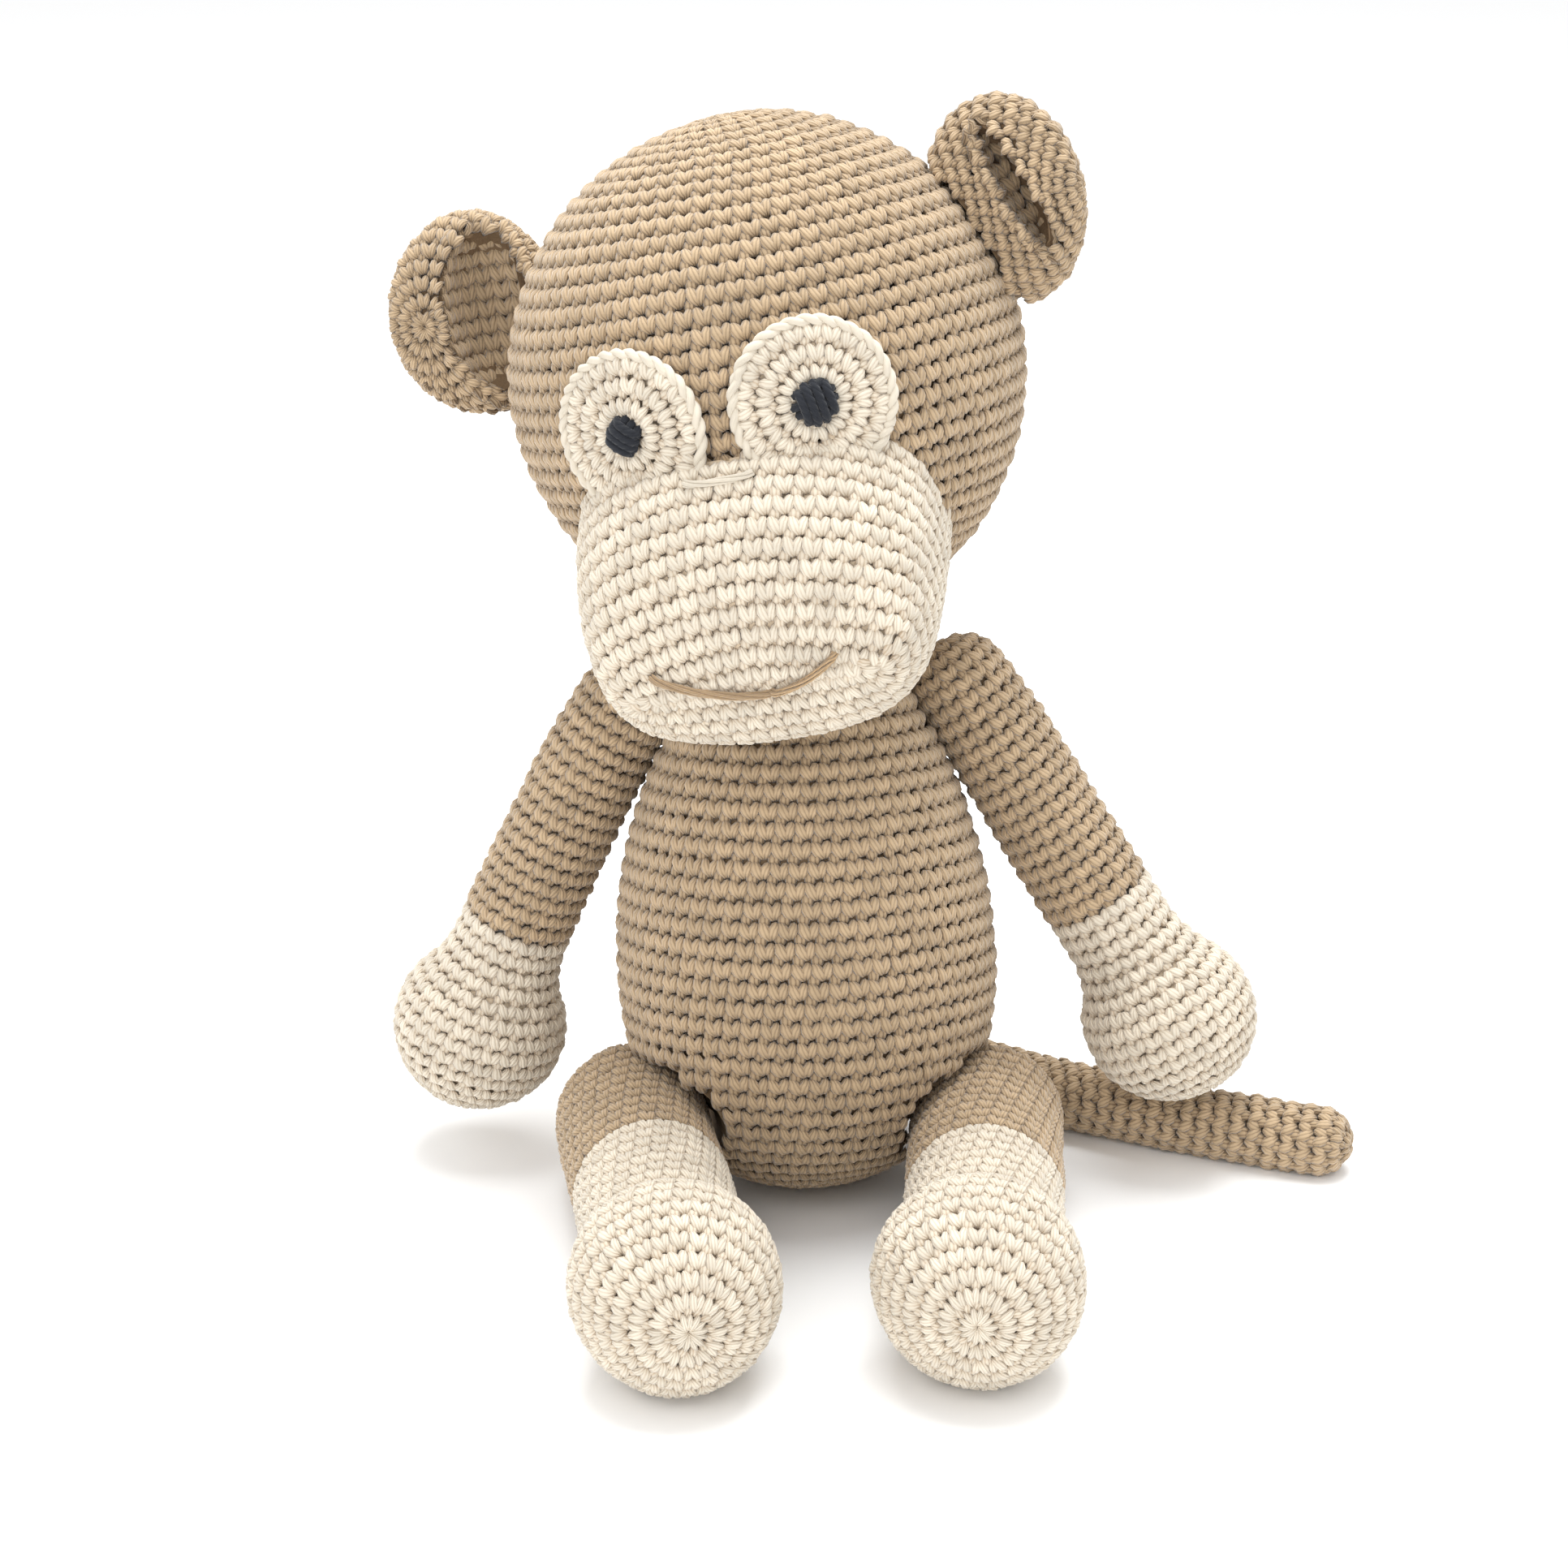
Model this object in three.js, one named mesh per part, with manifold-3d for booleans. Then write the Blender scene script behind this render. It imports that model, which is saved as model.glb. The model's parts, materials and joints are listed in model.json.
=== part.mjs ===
// Crocheted monkey toy, sitting, made of stuffed yarn covers that are sewn together.
// Lengths are in millimetres and angles in degrees. +Z is up, the toy faces -Y and its left is +X.
// The origin is on the floor, in the middle of the flat under the seat.
import * as THREE from 'three';
import { mergeVertices } from 'three/addons/utils/BufferGeometryUtils.js';
import Module from 'manifold-3d';

const wasm = await Module();
wasm.setup();

// Fabric, clearances and facets
const wall = 3; // crocheted fabric, one layer
const gap = 0.3; // between neighbouring pieces
const seatFlat = 0.5; // how deep the floor flattens what rests on it
const bodySides = 22; // flats round the body, the head and the muzzle
const limbSides = 14; // flats round a limb
const ballSides = 16; // flats round a ball seat
const fillSides = 10; // flats round a hollow in the filling, and round the tail
const seatSearch = 400; // places tried along the body's outline for its lowest one

// Body: a pear that leans back and a little to its right
const body = {
  height: 134.6, // from the seat to the rim at the neck
  bellyRadius: 46.5,
  bellyHeight: 55,
  chestRadius: 39,
  chestShare: 0.78, // of the height
  rimRadius: 20.6,
  leanBack: 13,
  leanRight: 1.6,
};

// Neck: a crocheted bead between body and head, open at both ends
const neck = {
  radius: 17.5,
  below: 4.6, // its middle, under the rim of the body
  bore: 7,
  clear: 27, // the muzzle keeps out of a ball of this radius round the neck
};

// Head: a ball, tipped, turned and leaned back on the neck
const head = { radius: 61.5, rise: 69.5, shiftRight: 7, shiftBack: 7, lean: 8, roll: 11.5, turn: 10.5 };

// Muzzle: an oval bag sewn on the front of the head and worked from a foundation line
const muzzle = {
  forward: 36, // middle of the sewn edge, from the middle of the head
  down: 34,
  droop: 36, // its axis, below straight forward
  length: 45,
  halfWidth: 42,
  topHeight: 35.5,
  bottomHeight: 35,
  corners: 0.8, // 1 is an oval, and less is squarer
  foundationHalf: 24,
  root: 22, // how far the bag reaches back towards the middle of the head
};

// Face: eye patches on the head, pupils on them, and stitches in yarn
const eye = { radius: 18.5, thickness: 3, left: 21.5, right: 18.5, down: 1.5 };
const pupil = { radius: 5, thickness: 3 };
const yarn = { radius: 1, noseHalf: 8, noseTurn: 17 };
// The smile's places across and up the muzzle
const smile = [[-22, 7.5], [-14, 3.2], [-5, -0.2], [4, -1.5], [12, 0.4], [18, 4]];

// Ears: flattened caps, curled forward, with a deep cup pressed in the front
const ear = {
  reach: 34, // out from the head
  middle: 0.42, // share of the reach where the cap is tallest
  halfHeight: 24.5,
  halfThickness: 9.5,
  curl: 10,
  cupDepth: 14,
  capTurn: 130, // how far round the cap is made, before the head cuts it
};
const earPlace = { // with its cup: how far out and up its middle is, its halves and how it slants
  left: { side: 49, back: 4, up: 30, cupOut: 15.5, cupUp: 3, cupHalfOut: 5.5, cupHalfUp: 16, slant: 22 },
  right: { side: 54, back: 4, up: 26.5, cupOut: 9, cupUp: 0, cupHalfOut: 10, cupHalfUp: 20, slant: 4 },
};

// Arms hang from ball seats beside the neck and end in cream hands
const arm = { rootRadius: 11, midRadius: 13.2, tipRadius: 21, colourAt: 63, seat: 0 };
const armPlace = { // below: the shoulder, under the rim of the body
  left: { below: 13.5, round: -4, splayRoot: 37, splayTip: 26, forward: 13, length: 118 },
  right: { below: 13.5, round: -4, splayRoot: 33, splayTip: 14, forward: 7, length: 115 },
};

// Legs lie forward on the floor from ball seats at the hips and end in cream feet
const leg = {
  rootRadius: 18.5,
  midRadius: 18.5,
  tipRadius: 23.8,
  colourAt: 43,
  seat: 11,
  rise: 6, // how far above its rest the body leaves room for the leg
  pass: 48, // how far from the hip the leg presses into the body
};
const legPlace = {
  left: { round: 8, toeIn: 4.4, length: 114 },
  right: { round: 8, toeIn: 8.2, length: 117 },
};

// Tail: a thin tube from the back of the body, laid round on the floor to the toy's left
const tail = {
  radius: 8.5,
  height: 24,
  round: 78,
  seat: 4,
  reachLeft: 136,
  reachBack: -8,
  bendLeft: 74,
  bendBack: 17,
  rootTurn: 65, // how far round its root ball is made
};

const tan = { color: 0xc2a583, roughness: 0.9, metalness: 0 };
const cream = { color: 0xf0e7d6, roughness: 0.9, metalness: 0 };
const black = { color: 0x23252b, roughness: 0.95, metalness: 0 };
const mouthYarn = { color: 0xb98f5f, roughness: 0.85, metalness: 0 };
const fillWhite = { color: 0xf7f6f2, roughness: 1, metalness: 0 };

const rad = THREE.MathUtils.degToRad;
const upward = new THREE.Vector3(0, 0, 1);
const toy = new THREE.Group();

// A ball seat is wide enough that it clears the corners of its ball at any turn
function seatRadius(ballRadius) {
  return (ballRadius + gap) / Math.cos(Math.PI / ballSides) ** 2;
}

// Makes a geometry closed, without slivers at its poles, and turned the right way out
function closed(geometry) {
  const bare = geometry.clone();
  bare.deleteAttribute('normal');
  bare.deleteAttribute('uv');
  const merged = mergeVertices(bare, 1e-3);
  const place = merged.getAttribute('position');
  const source = merged.getIndex().array;
  const corners = [];
  const [a, b, c] = [new THREE.Vector3(), new THREE.Vector3(), new THREE.Vector3()];
  let volume = 0;
  for (let i = 0; i < source.length; i += 3) {
    const [p, q, r] = [source[i], source[i + 1], source[i + 2]];
    if (p === q || q === r || r === p) continue;
    corners.push(p, q, r);
    a.fromBufferAttribute(place, p);
    b.fromBufferAttribute(place, q);
    c.fromBufferAttribute(place, r);
    volume += a.dot(b.cross(c));
  }
  if (volume < 0) corners.reverse();
  merged.setIndex(corners);
  return merged;
}

// Takes a geometry from its frame and gives a solid in the toy's frame
function solid(geometry, frame = toy) {
  const placed = closed(geometry).applyMatrix4(frame.matrixWorld);
  return new wasm.Manifold(new wasm.Mesh({
    numProp: 3,
    vertProperties: new Float32Array(placed.getAttribute('position').array),
    triVerts: new Uint32Array(placed.getIndex().array),
  }));
}

function cut(piece, ...cutters) {
  return cutters.reduce((left, cutter) => left.subtract(cutter), piece);
}

// Puts a solid back into its frame as a named mesh
function addPiece(frame, name, piece, look) {
  const mesh = piece.getMesh();
  const geometry = new THREE.BufferGeometry();
  geometry.setAttribute('position', new THREE.BufferAttribute(new Float32Array(mesh.vertProperties), 3));
  geometry.setIndex(new THREE.BufferAttribute(new Uint32Array(mesh.triVerts), 1));
  geometry.applyMatrix4(frame.matrixWorld.clone().invert());
  geometry.computeVertexNormals();
  const part = new THREE.Mesh(geometry, new THREE.MeshStandardMaterial(look));
  part.name = name;
  frame.add(part);
}

function addFrame(parent, position, turn) {
  const frame = new THREE.Group();
  frame.position.copy(position);
  frame.quaternion.copy(turn);
  parent.add(frame);
  toy.updateMatrixWorld(true);
  return frame;
}

function turnedBy(x, y, z, order = 'XYZ') {
  return new THREE.Quaternion().setFromEuler(new THREE.Euler(rad(x), rad(y), rad(z), order));
}

// A ball in a frame, as a solid in the toy's frame
function ballAt(radius, frame, place = new THREE.Vector3(), sides = ballSides) {
  const geometry = new THREE.SphereGeometry(radius, sides, sides / 2).rotateX(Math.PI / 2);
  return solid(geometry.translate(place.x, place.y, place.z), frame);
}

// Moves an outline inward by a depth, and keeps its ends on the axis when they are there
function inset(points, depth) {
  return points.map((point, i) => {
    const before = points[Math.max(i - 1, 0)];
    const after = points[Math.min(i + 1, points.length - 1)];
    const along = after.clone().sub(before).normalize();
    if (point.x < 1e-6) return new THREE.Vector2(0, point.y + Math.sign(along.x) * depth);
    return new THREE.Vector2(Math.max(0, point.x - along.y * depth), point.y + along.x * depth);
  });
}

// Points along an arc about a place on the axis, from one angle to another
function arcPoints(radius, height, from, to, steps) {
  return Array.from({ length: steps + 1 }, (_, i) => {
    const angle = rad(from + (to - from) * i / steps);
    const onAxis = to === 90 && i === steps;
    return new THREE.Vector2(onAxis ? 0 : radius * Math.cos(angle), height + radius * Math.sin(angle));
  });
}

// A turned shape about +Z, from points given as (radius, height)
function turned(points, sides) {
  return new THREE.LatheGeometry(points, sides).rotateX(Math.PI / 2);
}

// A closed skin over rounds of points, with a single point or a line at each end
function skinned(rounds) {
  const sides = rounds[0].length;
  const corners = [];
  for (let i = 0; i < rounds.length - 1; i += 1) {
    for (let j = 0; j < sides; j += 1) {
      const [a, b] = [i * sides + j, i * sides + ((j + 1) % sides)];
      corners.push(a, b, a + sides, b, b + sides, a + sides);
    }
  }
  const geometry = new THREE.BufferGeometry();
  geometry.setFromPoints(rounds.flat());
  geometry.setIndex(corners);
  return geometry;
}

// What rests on the floor is flat at a level
const aboveFloor = (piece, level) => piece.trimByPlane([0, 0, 1], level);

// Body outline, from the middle of the seat up to the rim at the neck
const bodyOutline = new THREE.Path();
bodyOutline.moveTo(0, 0);
bodyOutline.bezierCurveTo(body.bellyRadius * 0.66, 0, body.bellyRadius, body.bellyHeight * 0.4,
  body.bellyRadius, body.bellyHeight);
bodyOutline.bezierCurveTo(body.bellyRadius, body.bellyHeight * 1.5, body.chestRadius,
  body.height * body.chestShare, body.rimRadius, body.height);
const bodyPoints = bodyOutline.getSpacedPoints(13);

function bodyRadiusAt(height) {
  const next = bodyPoints.findIndex((point) => point.y > height);
  const [low, high] = [bodyPoints[next - 1], bodyPoints[next]];
  return THREE.MathUtils.mapLinear(height, low.y, high.y, low.x, high.x);
}

// The body stands on the part of its seat that is lowest when it leans
const bodyTurn = turnedBy(-body.leanBack, -body.leanRight, 0);
const downInBody = new THREE.Vector3(0, 0, -1).applyQuaternion(bodyTurn.clone().invert());
const tilt = Math.hypot(downInBody.x, downInBody.y);
const depthOf = (point) => point.x * tilt + point.y * downInBody.z;
const seatPoint = bodyOutline.getSpacedPoints(seatSearch).reduce((best, point) => (
  depthOf(point) > depthOf(best) ? point : best));
const lowest = new THREE.Vector3(downInBody.x, downInBody.y, 0).setLength(seatPoint.x).setZ(seatPoint.y)
  .applyQuaternion(bodyTurn);
const bodyFrame = addFrame(toy, lowest.negate().add(new THREE.Vector3(0, 0, -seatFlat)), bodyTurn);
const neckPlace = new THREE.Vector3(0, 0, body.height - neck.below);
const neckFrame = addFrame(bodyFrame, neckPlace, new THREE.Quaternion());

// A place beside the body, at a height on it and an angle forward of straight out to one side
function besideBody(sign, height, round, ballRadius, depth) {
  const out = bodyRadiusAt(height) + ballRadius - depth;
  return bodyFrame.localToWorld(
    new THREE.Vector3(sign * out * Math.cos(rad(round)), -out * Math.sin(rad(round)), height));
}

// A limb's outline from its root ball to its tip, the root ball about the origin
function limbOutline(size, reach) {
  const tipAt = reach - size.tipRadius;
  const flare = rad(38);
  const [flareX, flareY] = [size.tipRadius * Math.cos(flare), tipAt - size.tipRadius * Math.sin(flare)];
  const outline = new THREE.Path();
  outline.absarc(0, 0, size.rootRadius, -Math.PI / 2, 0, false);
  outline.bezierCurveTo(size.rootRadius, tipAt * 0.2, size.midRadius, tipAt * 0.3,
    size.midRadius, flareY - size.tipRadius * 0.55);
  outline.quadraticCurveTo(size.midRadius, flareY - size.tipRadius * 0.3, flareX, flareY);
  outline.absarc(0, tipAt, size.tipRadius, -flare, Math.PI / 2, false);
  return outline;
}

// Bends a straight shape along a curve that leaves its root along +Z
function bend(geometry, curve, reach, across) {
  const place = geometry.getAttribute('position');
  const side = new THREE.Vector3();
  const other = new THREE.Vector3();
  for (let i = 0; i < place.count; i += 1) {
    const share = THREE.MathUtils.clamp(place.getZ(i) / reach, 0, 1);
    const along = curve.getTangentAt(share);
    side.crossVectors(across, along).normalize();
    other.crossVectors(along, side);
    const point = curve.getPointAt(share).addScaledVector(along, place.getZ(i) - share * reach)
      .addScaledVector(side, place.getX(i)).addScaledVector(other, place.getY(i));
    place.setXYZ(i, point.x, point.y, point.z);
  }
  return geometry;
}

// A limb: a sleeve with a root ball, a cream end past the colour change, and the filling in both.
// Returns its corners in its frame.
function addLimb(frame, names, size, reach, curve, trim = false) {
  const points = limbOutline(size, reach).getSpacedPoints(13);
  const change = points.findIndex((point) => point.y > size.colourAt);
  const past = change + 1;
  const inner = inset(points, wall);
  const next = (list) => list[change].clone().add(new THREE.Vector2(0, gap));
  const sleeve = [...points.slice(0, past), ...inner.slice(0, past).reverse()];
  const end = [...inner.slice(past).reverse(), next(inner), next(points), ...points.slice(past)];
  const across = new THREE.Vector3(0, 1, 0);
  const shape = (list, sides) => solid(bend(turned(list, sides), curve, reach, across), frame);
  const trimmed = (piece, level) => (trim ? aboveFloor(piece, level) : piece);
  addPiece(frame, names.sleeve, trimmed(shape(sleeve, limbSides), 0), tan);
  addPiece(frame, names.end, trimmed(shape(end, limbSides), 0), cream);
  const filling = shape(inset(points, wall + gap), limbSides);
  addPiece(frame, names.filling, trimmed(filling, wall + gap), fillWhite);
  return bend(turned(points, limbSides), curve, reach, across).getAttribute('position');
}

// Arms
const armFrames = {};
const armCorners = {};
for (const [name, sign] of [['left', 1], ['right', -1]]) {
  const place = armPlace[name];
  const shoulder = besideBody(sign, body.height - place.below, place.round, arm.rootRadius, arm.seat);
  const hang = new THREE.Vector3(sign * Math.sin(rad(place.splayRoot)), -Math.sin(rad(place.forward)),
    -Math.cos(rad(place.splayRoot)));
  const turn = new THREE.Quaternion().setFromUnitVectors(upward, hang.normalize());
  const frame = addFrame(toy, shoulder, turn);
  const drop = rad(place.splayRoot - place.splayTip);
  const half = place.length / 2;
  const curve = new THREE.QuadraticBezierCurve3(new THREE.Vector3(), new THREE.Vector3(0, 0, half),
    new THREE.Vector3(sign * half * Math.sin(drop), 0, half * (1 + Math.cos(drop))));
  armFrames[name] = frame;
  const names = { sleeve: `arm_cover_${name}`, end: `hand_cover_${name}`, filling: `arm_stuffing_${name}` };
  armCorners[name] = addLimb(frame, names, arm, place.length, curve);
}

// Legs
const legFrames = {};
for (const [name, sign] of [['left', 1], ['right', -1]]) {
  const place = legPlace[name];
  const hip = besideBody(sign, leg.rootRadius, place.round, leg.rootRadius, leg.seat);
  hip.z = leg.rootRadius - seatFlat;
  const rise = Math.asin((leg.tipRadius - leg.rootRadius) / (place.length - leg.tipRadius));
  const turn = turnedBy(90 - THREE.MathUtils.radToDeg(rise), 0, -sign * place.toeIn, 'ZXY');
  const frame = addFrame(toy, hip, turn);
  const curve = new THREE.LineCurve3(new THREE.Vector3(), new THREE.Vector3(0, 0, place.length));
  legFrames[name] = frame;
  const names = { sleeve: `leg_cover_${name}`, end: `foot_cover_${name}`, filling: `leg_stuffing_${name}` };
  addLimb(frame, names, leg, place.length, curve, true);
}

// Tail: its root ball sits in the back of the body, and the rest lies along the floor
const tailRoot = besideBody(1, tail.height, -tail.round, tail.radius, tail.seat);
const tailFrame = addFrame(toy, tailRoot, new THREE.Quaternion());
const tailLow = tail.radius - seatFlat - tailRoot.z;
const tailAt = (left, back, up) => new THREE.Vector3(left - tailRoot.x, back - tailRoot.y, up);
const tailCurve = new THREE.CatmullRomCurve3([
  new THREE.Vector3(0, 0, 0),
  new THREE.Vector3(tail.radius * 1.2, tail.radius * 0.8, tailLow * 0.55),
  new THREE.Vector3(tail.radius * 3, tail.radius * 0.6, tailLow),
  tailAt(tail.bendLeft, tail.bendBack, tailLow),
  tailAt(tail.reachLeft, tail.reachBack, tailLow),
]);
const tailLength = tailCurve.getLength();
const tailStraight = tailLength - tail.radius;
const tailRounds = [
  ...arcPoints(tail.radius, 0, -tail.rootTurn, 0, 3),
  ...Array.from({ length: 8 }, (_, i) => new THREE.Vector2(tail.radius, tailStraight * (i + 1) / 9)),
  ...arcPoints(tail.radius, tailStraight, 0, 90, 3),
];
const tailShape = (list) => solid(bend(turned(list, fillSides), tailCurve, tailLength, upward), tailFrame);
const tailInner = inset(tailRounds, wall);
const tailCore = inset(tailRounds, wall + gap);
const tailSkin = tailShape([...tailInner.reverse(), ...tailRounds]);
addPiece(tailFrame, 'tail_cover', aboveFloor(tailSkin, 0), tan);
const tailFill = tailShape([new THREE.Vector2(0, tailCore[0].y), ...tailCore]);
addPiece(tailFrame, 'tail_stuffing', aboveFloor(tailFill, wall + gap), fillWhite);

// Body cover and filling, hollowed where the limbs, the tail and the neck are seated
const seats = [[tail.radius, tailFrame]];
for (const side of ['left', 'right']) {
  seats.push([arm.rootRadius, armFrames[side]], [leg.rootRadius, legFrames[side]]);
}

// The room that a leg needs as it swings from just above its rest to straight down
function legRoom(depth, frame) {
  const room = seatRadius(leg.rootRadius) + depth;
  const reach = leg.pass + depth;
  const raised = new THREE.CylinderGeometry(room, room, reach, limbSides)
    .rotateX(Math.PI / 2).translate(0, 0, reach / 2).rotateX(-rad(leg.rise));
  const swept = new THREE.CylinderGeometry(reach, reach, room * 2, ballSides).rotateZ(Math.PI / 2);
  const below = new THREE.BoxGeometry(reach * 2, reach, reach + room)
    .translate(0, -reach / 2, (reach - room) / 2).rotateX(-rad(leg.rise));
  return solid(swept, frame).intersect(solid(below, frame)).add(solid(raised, frame));
}

// The near edge of an arm's corners, as (distance from the swing's axis, outward along that axis)
function nearEdge(name, sign) {
  const corner = new THREE.Vector3();
  const edge = [];
  const hollowAt = (next) => {
    const [a, b] = edge.slice(-2);
    return b.clone().sub(a).cross(next.clone().sub(a)) <= 0;
  };
  const points = Array.from({ length: armCorners[name].count }, (_, i) => {
    corner.fromBufferAttribute(armCorners[name], i).applyQuaternion(armFrames[name].quaternion);
    return new THREE.Vector2(Math.hypot(corner.y, corner.z), sign * corner.x);
  }).sort((a, b) => a.x - b.x);
  for (const point of points) {
    while (edge.length > 1 && hollowAt(point)) edge.pop();
    edge.push(point);
  }
  return edge;
}

// The room that an arm sweeps beside the body as it swings: its near edge turned about the swing's axis
function armRoom(depth, name, sign) {
  const widen = 1 / Math.cos(Math.PI / bodySides);
  const shift = gap + depth / Math.cos(rad(armPlace[name].splayRoot));
  const near = nearEdge(name, sign).map((point) => new THREE.Vector2(point.x * widen, point.y - shift));
  const far = armPlace[name].length;
  const outline = [new THREE.Vector2(0, near[0].y), ...near, new THREE.Vector2(near.at(-1).x, far),
    new THREE.Vector2(0, far)];
  const room = new THREE.LatheGeometry(outline, bodySides).rotateZ(-sign * Math.PI / 2);
  const centre = armFrames[name].position;
  return solid(room.translate(centre.x, centre.y, centre.z));
}
const hollows = (depth, sides = fillSides) => [
  ...seats.map(([radius, frame]) => ballAt(seatRadius(radius) + depth, frame, new THREE.Vector3(), sides)),
  legRoom(depth, legFrames.left), legRoom(depth, legFrames.right),
  armRoom(depth, 'left', 1), armRoom(depth, 'right', -1),
];
const neckSeat = ballAt(seatRadius(neck.radius), neckFrame);
function filled(points, top) {
  const rim = points.at(-1).x;
  const heights = top > body.height ? [body.height, top] : [top];
  const places = [...heights.map((height) => new THREE.Vector2(rim, height)), new THREE.Vector2(0, top)];
  return solid(turned([...points.slice(0, -1), ...places], bodySides), bodyFrame);
}
const hollowTop = body.height + wall; // open at the rim
const bodyHollow = aboveFloor(cut(filled(inset(bodyPoints, wall), hollowTop), ...hollows(wall)), wall);
const bodyOuter = aboveFloor(cut(filled(bodyPoints, body.height), ...hollows(0, ballSides)), 0);
addPiece(bodyFrame, 'body_cover', cut(bodyOuter, bodyHollow, neckSeat), tan);
const bodyFill = cut(filled(inset(bodyPoints, wall + gap), body.height), ...hollows(wall + gap), neckSeat);
addPiece(bodyFrame, 'body_stuffing', aboveFloor(bodyFill, wall + gap), fillWhite);

// Neck bead with its filling
const neckBead = (outer, inner) => {
  const mouth = new THREE.CylinderGeometry(neck.bore, neck.bore, neck.radius * 3, limbSides)
    .rotateX(Math.PI / 2);
  return cut(ballAt(outer, neckFrame), ballAt(inner, neckFrame), solid(mouth, neckFrame));
};
addPiece(neckFrame, 'neck_cover', neckBead(neck.radius, neck.radius - wall), tan);
addPiece(neckFrame, 'neck_stuffing', ballAt(neck.radius - wall - gap, neckFrame), fillWhite);

// Head: the ball, with its seat over the neck
const headPlace = neckFrame.getWorldPosition(new THREE.Vector3())
  .add(new THREE.Vector3(-head.shiftRight, head.shiftBack, head.rise));
const headFrame = addFrame(toy, headPlace, turnedBy(-head.lean, -head.roll, -head.turn, 'YXZ'));
const headBall = (radius) => ballAt(radius, headFrame, new THREE.Vector3(), bodySides);
const headMouth = new THREE.CylinderGeometry(neck.bore, neck.bore, head.radius, limbSides)
  .translate(0, head.radius / 2, 0).rotateX(Math.PI / 2);
addPiece(headFrame, 'head_cover', cut(headBall(head.radius), neckSeat, solid(headMouth, neckFrame),
  cut(headBall(head.radius - wall), ballAt(seatRadius(neck.radius) + wall, neckFrame))), tan);
const headFill = head.radius - wall - gap;
addPiece(headFrame, 'head_stuffing',
  cut(headBall(headFill), ballAt(seatRadius(neck.radius) + wall + gap, neckFrame)), fillWhite);

// Muzzle: a round of the bag at a turn from the sewn edge (0) to the foundation line (a quarter turn)
const muzzleFrame = addFrame(headFrame, new THREE.Vector3(0, -muzzle.forward, -muzzle.down),
  turnedBy(90 + muzzle.droop, 0, 0));
function muzzlePoint(turn, around, depth) {
  const fall = Math.cos(turn);
  const width = (muzzle.halfWidth - muzzle.foundationHalf) * fall ** 0.6 + muzzle.foundationHalf;
  const height = around < Math.PI ? muzzle.topHeight * fall ** 1.5 : muzzle.bottomHeight * fall ** 0.5;
  const shrink = (size) => Math.max(size - depth * fall, 0);
  const square = (share) => Math.sign(share) * Math.abs(share) ** muzzle.corners;
  const [across, up] = [square(Math.cos(around)), square(Math.sin(around))];
  const forward = (muzzle.length - depth) * Math.sin(turn);
  return new THREE.Vector3(shrink(width) * across, shrink(height) * up, forward);
}
function muzzleBag(depth, steps, sides) {
  const around = Array.from({ length: sides }, (_, j) => (j / sides) * Math.PI * 2);
  const rounds = Array.from({ length: steps + 1 }, (_, i) => {
    const turn = (i / steps) * Math.PI / 2;
    return around.map((angle) => muzzlePoint(i === steps ? Math.PI / 2 - 1e-9 : turn, angle, depth));
  });
  const back = rounds[0].map((point) => point.clone().setZ(-muzzle.root));
  const middle = back.map(() => new THREE.Vector3(0, 0, -muzzle.root));
  return solid(skinned([middle, back, ...rounds]), muzzleFrame);
}
const muzzleOuter = muzzleBag(0, 7, bodySides);
const neckRoom = (depth) => ballAt(neck.clear + depth, neckFrame);
const muzzleHollow = cut(muzzleBag(wall, 5, bodySides), neckRoom(wall));
addPiece(muzzleFrame, 'muzzle_cover',
  cut(muzzleOuter, headBall(head.radius + gap), neckRoom(0), muzzleHollow), cream);
addPiece(muzzleFrame, 'muzzle_stuffing',
  cut(muzzleBag(wall + gap, 5, bodySides), headBall(head.radius + gap), neckRoom(wall + gap)), fillWhite);

// Eye patches follow the head, and the muzzle's top edge cuts them
for (const [name, side] of [['left', eye.left], ['right', -eye.right]]) {
  const look = new THREE.Vector3(Math.sin(rad(side)), -Math.cos(rad(side)), -Math.sin(rad(eye.down)));
  const turn = new THREE.Quaternion().setFromUnitVectors(upward, look.normalize());
  const frame = addFrame(headFrame, new THREE.Vector3(), turn);
  const disc = new THREE.CylinderGeometry(eye.radius, eye.radius, head.radius, ballSides)
    .rotateX(Math.PI / 2).translate(0, 0, head.radius);
  const patchOuter = head.radius + gap + eye.thickness;
  addPiece(frame, `eye_patch_${name}`, cut(headBall(patchOuter).intersect(solid(disc, frame)),
    headBall(head.radius + gap), muzzleBag(-gap, 7, bodySides)), cream);
  const dome = new THREE.SphereGeometry(pupil.radius, 10, 6).scale(1, 1, pupil.thickness / pupil.radius)
    .translate(0, 0, patchOuter + gap);
  addPiece(frame, `pupil_${name}`, cut(solid(dome, frame), headBall(patchOuter + gap)), black);
}

// Ears: a cap worked from its outer end and curled forward
function earPoint(turn, around, sign) {
  const out = ear.reach * (ear.middle + (1 - ear.middle) * Math.cos(turn));
  const high = ear.halfHeight * Math.sin(turn) * Math.sin(around);
  const thick = ear.halfThickness * Math.sin(turn) ** 0.8 * Math.cos(around);
  return new THREE.Vector3(sign * out, thick - ear.curl * (out / ear.reach) ** 2, high);
}

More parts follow.
